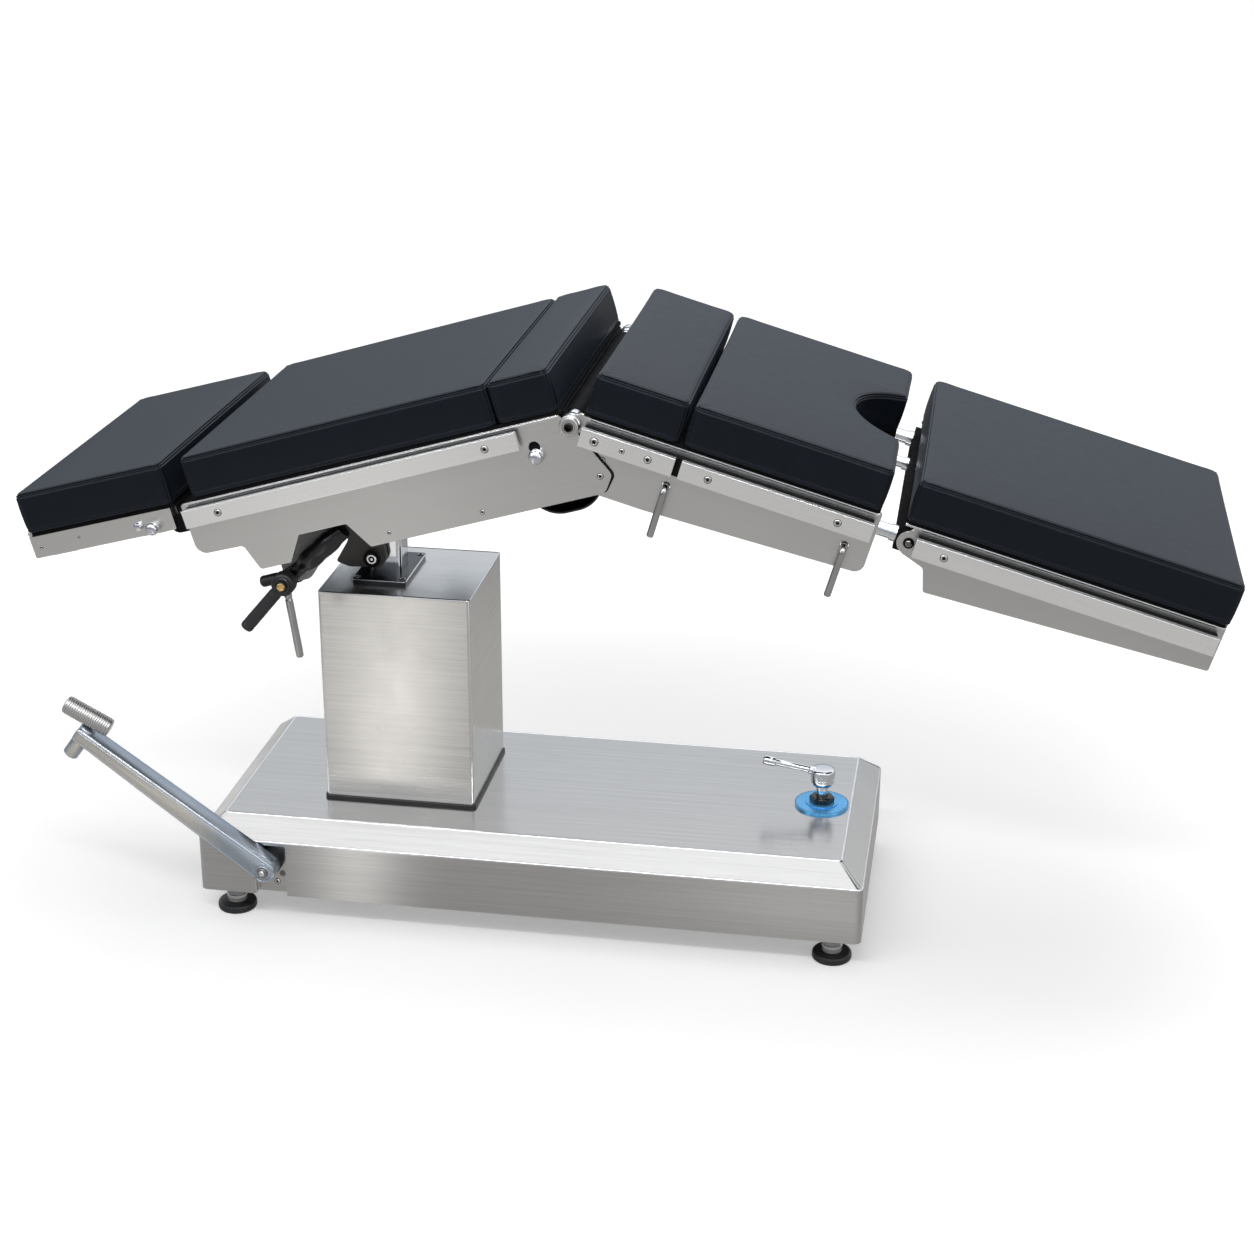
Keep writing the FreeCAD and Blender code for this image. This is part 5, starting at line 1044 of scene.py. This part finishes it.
def socketScrews(name, places, material, body):
    # a domed head with a hexagon sunk in it, repeated, with painted shade: a dark ring round the head and a
    # dark disc in the hexagon; a size of 5 is a head of 11.2 mm
    heads = []
    shades = []
    for place, size in places:
        k = size / 5.0
        line = [(0, -0.4), (5.6 * k, -0.4), (5.6 * k, 0.5 * k), (5.2 * k, 1.1 * k), (4.4 * k, 1.5 * k),
                (2.7 * k, 1.7 * k), (2.5 * k, 0.5 * k), (0, 0.5 * k)]
        heads.append(turned(line, place, 24, [False] * 5 + [True, True, False]))
        shadeRing = [(0, -0.3), (6.5 * k, -0.3), (6.5 * k, 0.12), (5.5 * k, 0.16), (0, 0.16)]
        shades.append(turned(shadeRing, place, 24))
        socketShade = [(0, 0.5 * k), (2.45 * k, 0.5 * k), (2.4 * k, 0.9 * k), (0, 0.9 * k)]
        shades.append(turned(socketShade, place, 24, [False, True, True, False]))
    makePiece(name + "Shades", shades, shadowBlack, body)
    makePiece(name, heads, material, body)


for name, (body, section, spots) in screws.items():
    places = []
    for x, y, z, size in spots:
        places.append((at(section, x, -y, z, faceFront), size))
        places.append((at(section, x, y, z, faceBack), size))
    socketScrews(name, places, boltMetal, body)
pedalScrewPlace = at(level, pedalScrew["x"], -baseHalf, pedalScrew["z"], faceFront)
socketScrews("screwsBase", [(pedalScrewPlace, pedalScrew["size"])], boltMetal, "base")
tiltFace = at(backSection, -447.8, 0, -194.8, faceFront)
earPlace = at(legSection, 528, 0, -10, faceFront)


def makeBolts():
    # the tilt bolt's bright rings, with painted shade as a dark ring round them and a dark disc in the socket,
    # and the bolt in the leg section's ear
    shadeRing = [(8.6, 49), (14.3, 49), (14.3, 50.2), (13.6, 50.6), (8.6, 50.6), (8.6, 49)]
    socket = [(0, 50.5), (5.1, 50.5), (5.1, 50.9), (0, 50.9)]
    makePiece("tiltBoltShade", [turned(shadeRing, tiltFace, 48), turned(socket, tiltFace, 36)], shadowBlack,
              "carriage")
    ring = [(0, 48), (8.4, 48), (8.4, 51.2), (7.8, 51.8), (5.4, 51.8), (5.0, 51.2), (5.0, 50.6), (0, 50.6)]
    pip = [(0, 50.8), (2.6, 50.8), (2.4, 51.8), (0, 52.0)]
    makePiece("tiltBoltRing", [turned(ring, tiltFace, 48), turned(pip, tiltFace, 24)], chrome, "carriage")
    ear = [(0, 262), (7.4, 262), (7.4, 265.4), (6.8, 266.0), (5.4, 266.0), (5.2, 267.6), (4.0, 268.6),
           (2.0, 268.9), (1.8, 267.8), (0, 267.8)]
    turnedPiece("legEarBolt", ear, earPlace, pinMetal, "leg")


makeBolts()
print("screws made")


# ---------- bent edges of the covers ----------

flange = {"half": (44.3, 69.8), "corner": 4, "top": 558, "screws": (38, 60), "screw": 4.6, "beadHeight": 556.4,
          "bead": 1.6}
baseEdge = {"inset": 38.0, "low": 147.0, "corners": (12.0, 6.0), "bead": 3.0, "sunk": 2.65, "ridge": 6.0,
            "ridgeSunk": 5.4}
columnEdge = {"middle": -375.94, "long": 126.5, "wide": 117.0, "top": 550.0, "low": 184.5, "corner": 5.0,
              "bead": 2.2, "sunk": 1.5, "upright": 2.6, "uprightIn": 2.8}


def makeFlangeEdge():
    # a bright bead round the flange's upper edge
    halfX, halfY = flange["half"]
    outline = roundedBox(-halfX, halfX, -halfY, halfY, flange["corner"], 8)
    bead = beadLoop(outline, 0, flange["beadHeight"], flange["bead"], shift(postX * mm, 0, 0))
    makePiece("flangeEdge", [bead], chrome, "base")


def makeFlangeScrews():
    halfX, halfY = flange["screws"]
    places = [shift((postX + x) * mm, y * mm,
                    flange["top"] * mm) for x in (-halfX, halfX) for y in (-halfY, halfY)]
    socketScrews("screwsFlange", [(place, flange["screw"]) for place in places], chrome, "base")


def baseLoop(inset, corner):
    half = baseHalf - inset
    return roundedBox(baseLeft + inset, baseLeft + baseLong - inset, -half, half, corner, 10)


def baseMitres():
    # down each corner of the sloping band, on the ridge between its two faces, sunk square to the ridge
    lines = []
    inward = np.array([0.362, 0.362, 0.859]) * baseEdge["ridgeSunk"]
    lowAway, highAway = [corner * (1 - math.sqrt(0.5)) for corner in baseEdge["corners"]]
    highAway += baseEdge["inset"]
    size = np.full(16, baseEdge["ridge"])
    size[[0, -1]] = 0.01
    for sideX, endX in ((-1, baseLeft), (1, baseLeft + baseLong)):
        for sideY in (-1, 1):
            low = (endX - sideX * lowAway, sideY * (baseHalf - lowAway), baseEdge["low"])
            high = (endX - sideX * highAway, sideY * (baseHalf - highAway), baseTop)
            ridge = np.linspace(low, high, 16) - inward * (sideX, sideY, 1)
            lines.append(tubed(ridge, size, level, 16))
    return lines


def makeBaseEdges():
    # beads along the lower and upper bend of the sloping band, sunk square to the bend
    sunk, bead = baseEdge["sunk"], baseEdge["bead"]
    lowCorner, topCorner = baseEdge["corners"]
    lower = beadLoop(baseLoop(0, lowCorner), sunk, baseEdge["low"] - 0.465 * sunk, bead, level)
    upper = beadLoop(baseLoop(baseEdge["inset"], topCorner), 0.365 * sunk, baseTop - sunk, bead, level)
    makePiece("baseEdges", [lower, upper], edgeMetal, "base")
    makePiece("baseMitres", baseMitres(), softEdge, "base")


def makeColumnEdges():
    # a bead round the top and a rod down each corner of the column
    long, wide, corner = columnEdge["long"], columnEdge["wide"], columnEdge["corner"]
    place = shift(columnEdge["middle"] * mm, 0, 0)
    outline = roundedBox(-long, long, -wide, wide, corner, 8)
    patches = [beadLoop(outline, columnEdge["sunk"], columnEdge["top"] - columnEdge["sunk"], columnEdge["bead"],
                        place)]
    rod = capped(columnEdge["top"] - columnEdge["low"] - 1, columnEdge["upright"], 5, 1.0)
    reach = columnEdge["uprightIn"] * math.sqrt(0.5) - corner
    for sideX in (-1, 1):
        for sideY in (-1, 1):
            foot = shift(sideX * (long + reach) * mm, sideY * (wide + reach) * mm, columnEdge["low"] * mm)
            patches.append(turned(rod, place @ foot, 24))
    makePiece("columnEdges", patches, edgeMetal, "base")


makeFlangeEdge()
makeBaseEdges()
makeColumnEdges()
makeFlangeScrews()
print("cover edges made")


# ---------- plate edges, boards and painted shade in the gaps ---

plateEdge = {"radius": 3.0, "height": 16.8, "proud": 0.8, "crown": 1.5, "around": 16}
plateEdges = [("edgeBack", "back", backSection, (-627, -14), 270.6),
              ("edgeSeat", "seat", seatSection, (25, 475), 264.4),
              ("edgeLeg", "leg", legSection, (514, 1003), 264.4)]
nose = {"line": [(6, -15), (11, -24), (37.6, -82), (39.6, -88), (38.6, -93), (24, -110), (18, -113)],
        "y": 265.2, "radius": 2.0, "points": 60}
keyholePlace = at(backSection, -62, 0, -20.5, faceFront)
# the boards the cushions sit on: along, across, and from under to over
boards = [
    ("boardSeat", "seat", seatSection, (15.6, 378), (-266.8, 266.8), (20.0, 26.6)),
    ("boardSeatNear", "seat", seatSection, (366, 472), (-266.8, -152), (20.0, 26.6)),
    ("boardSeatFar", "seat", seatSection, (366, 472), (152, 266.8), (20.0, 26.6)),
    ("boardLeg", "leg", legSection, (516, 1003), (-266.8, 266.8), (20.0, 26.6)),
    ("boardHead", "head", headSection, (-893, -646), (-266.8, 266.8), (18.4, 26.6)),
    ("boardBack", "back", backSection, (-606, -108), (-265.5, 265.5), (19.6, 26.6)),
    ("apronBack", "back", backSection, (-42, -7), (-256, 256), (13.5, 19.6)),
]
# painted shade: dark blocks in the space behind the rails and in the gap between them: along, from plate to
# rail, and from under to over
railShadows = [
    ("railShadowBack", "back", backSection, (-624, -83), (271.3, 279.9), (9.5, 12.5)),
    ("railShadowSeat", "seat", seatSection, (23, 162), (264.3, 279.9), (4.5, 7.5)),
    ("railShadowSeatLong", "seat", seatSection, (178, 469), (264.3, 279.9), (4.5, 7.5)),
    ("railShadowJoint", "seat", seatSection, (164, 176), (264.3, 281.5), (-20, 8)),
    ("railShadowLeg", "leg", legSection, (539, 994), (264.3, 279.9), (4.5, 7.5)),
]


def makePlateEdge(name, body, section, ends, out):
    radius = plateEdge["radius"]
    bar = capped(ends[1] - ends[0], radius, 5, plateEdge["crown"])
    across = out - radius + plateEdge["proud"]
    patches = [turned(bar, at(section, ends[0], side * across, plateEdge["height"], alongX),
                      plateEdge["around"])
               for side in (-1, 1)]
    makePiece(name, patches, edgeMetal, body)


def makeNoseShadows():
    # painted shade: a dark line round the nose of each back plate, where the gap under it lies in shadow,
    # thinning at its ends
    line = np.array(nose["line"], float)
    share = np.linspace(0, 1, nose["points"])
    lengths = np.hypot(*np.diff(line, axis=0).T)
    run = np.concatenate([[0], np.cumsum(lengths)]) / lengths.sum()
    x, z = np.interp(share, run, line[:, 0]), np.interp(share, run, line[:, 1])
    size = nose["radius"] * np.clip(np.minimum(share, 1 - share) * 30, 0.005, 1) ** 0.5
    for name, side in (("noseShadowFront", -1), ("noseShadowRear", 1)):
        path = np.column_stack([x, np.full(len(x), side * nose["y"]), z])
        makePiece(name, [tubed(path, size, backSection, 12)], shadowBlack, "back")


def makeBoard(name, body, section, along, across, heights):
    under, over = heights
    outline = roundedBox(*along, *across, 5, 5)[::-1]
    layers = [(1.2, under), (0, under + 1.2), (0, over - 1.0), (1.0, over)]
    makePiece(name, [lofted(outline, layers, section)], deckAndShadeBlack, body)


def makeRailShadow(name, body, section, along, across, heights):
    under, over = heights
    patches = []
    for side in (-1, 1):
        outline = roundedBox(*along, *sorted((side * across[0], side * across[1])), 2, 4)[::-1]
        patches.append(lofted(outline, [(0.6, under), (0, under + 0.6), (0, over - 0.6), (0.6, over)], section))
    makePiece(name, patches, deckAndShadeBlack, body)


def makeHingeBar():
    # the dark bar along the break and a bright sleeve at each end of it
    bar = [(0, -229), (14.2, -229), (15.0, -228), (15.0, 228), (14.2, 229), (0, 229)]
    turnedPiece("hingeBar", bar, hingeFront, deckAndShadeBlack, "back", 56)
    sleeve = [(11.6, 232), (13.6, 232), (14.4, 233), (14.4, 244), (13.4, 246), (14.6, 248), (14.8, 256.4),
              (11.6, 256.4), (11.6, 232)]
    turnedPiece("hingeSleeveFront", sleeve, hingeFront, chrome, "back", 56)
    turnedPiece("hingeSleeveRear", sleeve, hingeRear, chrome, "back", 56)


for edge in plateEdges:
    makePlateEdge(*edge)
makeNoseShadows()
shade = [(0, 264.2), (10.4, 264.2), (10.6, 264.5), (10.4, 264.8), (0, 264.8)]
turnedPiece("keyholeShade", shade, keyholePlace, shadowBlack, "back")
for board in boards:
    makeBoard(*board)
for shadowBlock in railShadows:
    makeRailShadow(*shadowBlock)
makeHingeBar()
print("edges and joints made")


# ---------- floor, light and camera ----------

# near is the glow round the middle, lower for a painted shadow; pools and behind are painted pools of light and
# a painted darkening, in reflections only
floorLook = {"size": 60.0, "lit": 0.75, "glow": 0.60, "near": 0.325, "shade": 0.82, "reflected": 0.38,
             "middle": (-0.15, -0.1), "reach": (0.8, 2.0), "behind": (0.9, 2.6, 0.22),
             "pools": [((-0.665, -1.16), (0.078, 0.86), 1.22), ((-0.95, 0.50), (0.30, 0.60), 0.50),
                       ((-1.03, -0.93), (0.18, 0.24), 0.45), ((0.32, -0.46), (0.26, 0.14), 0.24),
                       ((-1.10, -2.40), (0.40, 0.50), 0.30)]}


def makeFloor():
    # seen by the camera it glows up to white and keeps the shadow, its glow lower near the table as a painted
    # shadow;
    # in a reflection it is a pale studio floor with painted pools of light, darker behind the table; for the
    # rays that carry light it is plain
    half = floorLook["size"] / 2
    mesh = bpy.data.meshes.new("floor")
    mesh.from_pydata([(-half, -half, 0), (half, -half, 0), (half, half, 0), (-half, half, 0)], [],
                     [(0, 1, 2, 3)])
    floor = bpy.data.objects.new("floor", mesh)
    bpy.context.scene.collection.objects.link(floor)
    n = Nodes("floorPale")
    n.set(Base_Color=grey(floorLook["lit"]), Roughness=0.9)
    n.shader.inputs["Specular IOR Level"].default_value = 0.0
    path = n.add("ShaderNodeLightPath")
    seen = n.sums("MAXIMUM", path.outputs["Is Camera Ray"], path.outputs["Is Transmission Ray"])

    def glowing(glow, shade):
        pale = n.add("ShaderNodeBsdfDiffuse", {"Color": grey(shade)})
        light = n.add("ShaderNodeEmission", {"Color": (1.0, 0.992, 0.975, 1) if shade < 0.5 else grey(1.0),
                                             "Strength": glow})
        both = n.add("ShaderNodeAddShader")
        n.put(both.inputs[0], pale.outputs[0])
        n.put(both.inputs[1], light.outputs[0])
        return both.outputs[0]

    spot = n.add("ShaderNodeSeparateXYZ", {"Vector": n.textures.outputs["Object"]})
    level = floorLook["reflected"]
    # painted pools of light, seen only in reflections
    for (x, y), (wide, long), gain in floorLook["pools"]:
        deep = n.sums("SUBTRACT", spot.outputs["Y"], y)
        across = n.sums("DIVIDE", n.sums("MULTIPLY_ADD", deep, -0.25, n.sums("SUBTRACT", spot.outputs["X"], x)),
                        wide)
        away = n.sums("DIVIDE", deep, long)
        square = n.sums("MULTIPLY_ADD", across, across, n.sums("MULTIPLY", away, away))
        pool = n.sums("EXPONENT", n.sums("MULTIPLY", square, -1.0))
        level = n.sums("MULTIPLY_ADD", pool, gain, level)
    offX = n.sums("SUBTRACT", spot.outputs["X"], floorLook["middle"][0])
    offY = n.sums("SUBTRACT", spot.outputs["Y"], floorLook["middle"][1])
    away = n.sums("SQRT", n.sums("MULTIPLY_ADD", offX, offX, n.sums("MULTIPLY", offY, offY)))
    # painted shade: in reflections the floor fades darker behind the table
    start, end, least = floorLook["behind"]
    level = n.sums("MULTIPLY", level, n.ranged(spot.outputs["Y"], start, end, 1.0, least, True))
    inMirror = n.add("ShaderNodeMixShader", {"Fac": path.outputs["Is Glossy Ray"]})
    n.put(inMirror.inputs[1], n.shader.outputs[0])
    n.put(inMirror.inputs[2], glowing(level, 0.12))
    whole = n.add("ShaderNodeMixShader", {"Fac": seen})
    n.put(whole.inputs[1], inMirror.outputs[0])
    # painted shadow: the camera's glow drops towards the middle of the table
    glow = n.ranged(away, *floorLook["reach"], floorLook["near"], floorLook["glow"], True)
    n.put(whole.inputs[2], glowing(glow, floorLook["shade"]))
    n.put(n.tree.nodes["Material Output"].inputs["Surface"], whole.outputs[0])
    mesh.materials.append(n.material)


makeFloor()

worldLook = {"seen": 1.0, "light": 0.48, "horizon": 0.16, "horizonRight": 0.80, "level": 1.02, "above": 1.75,
             "left": 0.86, "right": 1.0, "low": (0.80, 0.89, 1.0, 1), "high": (0.965, 0.98, 1.0, 1)}


def makeWorld():
    # white to the camera; in a reflection brighter overhead and to the right, as in a studio; even for light
    world = bpy.data.worlds.new("studio")
    bpy.context.scene.world = world
    world.use_nodes = True
    tree = world.node_tree

    def ranged(value, low, high, toLow, toHigh):
        node = tree.nodes.new("ShaderNodeMapRange")
        tree.links.new(value, node.inputs["Value"])
        for key, number in (("From Min", low), ("From Max", high)):
            node.inputs[key].default_value = number
        for key, number in (("To Min", toLow), ("To Max", toHigh)):
            if isinstance(number, bpy.types.NodeSocket):
                tree.links.new(number, node.inputs[key])
            else:
                node.inputs[key].default_value = number
        return node.outputs[0]

    path = tree.nodes.new("ShaderNodeLightPath")
    direction = tree.nodes.new("ShaderNodeTexCoord")
    split = tree.nodes.new("ShaderNodeSeparateXYZ")
    tree.links.new(direction.outputs["Generated"], split.inputs[0])
    horizon = ranged(split.outputs["X"], 0.26, 0.42, worldLook["horizon"], worldLook["horizonRight"])
    low = ranged(split.outputs["Z"], 0.0, 0.30, horizon, worldLook["level"])
    rising = ranged(split.outputs["Z"], 0.40, 0.85, low, worldLook["above"])
    side = ranged(split.outputs["X"], -0.6, 0.6, worldLook["left"], worldLook["right"])
    mirrored = tree.nodes.new("ShaderNodeMath")
    mirrored.operation = "MULTIPLY"
    tree.links.new(rising, mirrored.inputs[0])
    tree.links.new(side, mirrored.inputs[1])
    strength = ranged(path.outputs["Is Glossy Ray"], 0, 1, worldLook["light"], mirrored.outputs[0])
    strength = ranged(path.outputs["Is Transmission Ray"], 0, 1, strength, worldLook["seen"])
    strength = ranged(path.outputs["Is Camera Ray"], 0, 1, strength, worldLook["seen"])
    tint = tree.nodes.new("ShaderNodeMix")
    tint.data_type = "RGBA"
    tree.links.new(path.outputs["Is Glossy Ray"], tint.inputs["Factor"])
    tint.inputs["A"].default_value = grey(1.0)
    cool = tree.nodes.new("ShaderNodeMix")
    cool.data_type = "RGBA"
    plain = tree.nodes.new("ShaderNodeMath")
    plain.operation = "MAXIMUM"
    tree.links.new(ranged(split.outputs["Z"], 0.28, 0.50, 0.0, 1.0), plain.inputs[0])
    tree.links.new(ranged(split.outputs["X"], 0.26, 0.42, 0.0, 1.0), plain.inputs[1])
    tree.links.new(plain.outputs[0], cool.inputs["Factor"])
    cool.inputs["A"].default_value = worldLook["low"]
    cool.inputs["B"].default_value = worldLook["high"]
    tree.links.new(cool.outputs["Result"], tint.inputs["B"])
    background = tree.nodes["Background"]
    tree.links.new(tint.outputs["Result"], background.inputs["Color"])
    tree.links.new(strength, background.inputs["Strength"])


makeWorld()


def lamp(name, place, aim, width, height, watts, colour=(1, 1, 1)):
    data = bpy.data.lights.new(name, "AREA")
    data.shape = "RECTANGLE"
    data.size = width
    data.size_y = height
    data.energy = watts
    data.color = colour
    light = bpy.data.objects.new(name, data)
    bpy.context.scene.collection.objects.link(light)
    z = np.array(place, float) - np.array(aim, float)
    z /= np.linalg.norm(z)
    x = np.cross([0, 0, 1.0], z)
    x = x / np.linalg.norm(x) if np.linalg.norm(x) > 1e-6 else np.array([1.0, 0, 0])
    y = np.cross(z, x)
    matrix = np.eye(4)
    matrix[:3, 0], matrix[:3, 1], matrix[:3, 2], matrix[:3, 3] = x, y, z, place
    light.matrix_world = Matrix(matrix.tolist())


lamp("topSoftbox", (0.0, 0.6, 3.6), (0, 0, 0.6), 3.2, 2.2, 36)
lamp("edgeStrip", (-0.3, -2.7, 3.4), (0, 0, 0.8), 4.0, 0.30, 62)
lamp("leftKey", (-2.8, -2.2, 2.6), (0, 0, 0.7), 1.4, 1.8, 14)
lamp("rightFill", (3.0, -1.6, 1.8), (0.2, 0, 0.6), 1.2, 1.6, 7)

lens = {"place": (0.55276, -3.4496, 1.8766), "yaw": 0.1622, "pitch": 0.3812, "roll": 0.005, "length": 65.5}


def makeCamera():
    # right, up and forward from the turn about the upright axis, the dip and the roll
    yaw, pitch, roll = lens["yaw"], lens["pitch"], lens["roll"]
    forward = np.array([-math.sin(yaw) * math.cos(pitch), math.cos(yaw) * math.cos(pitch), -math.sin(pitch)])
    right = np.array([math.cos(yaw), math.sin(yaw), 0])
    up = np.cross(right, forward)
    right, up = right * math.cos(roll) + up * math.sin(roll), up * math.cos(roll) - right * math.sin(roll)
    data = bpy.data.cameras.new("camera")
    data.lens = lens["length"]
    data.sensor_width = 36
    data.clip_end = 200
    camera = bpy.data.objects.new("camera", data)
    bpy.context.scene.collection.objects.link(camera)
    matrix = np.eye(4)
    matrix[:3, 0], matrix[:3, 1], matrix[:3, 2], matrix[:3, 3] = right, up, -forward, lens["place"]
    camera.matrix_world = Matrix(matrix.tolist())
    bpy.context.scene.camera = camera


makeCamera()
bpy.context.scene.view_settings.view_transform = "Standard"
print("floor, lamps and camera made")
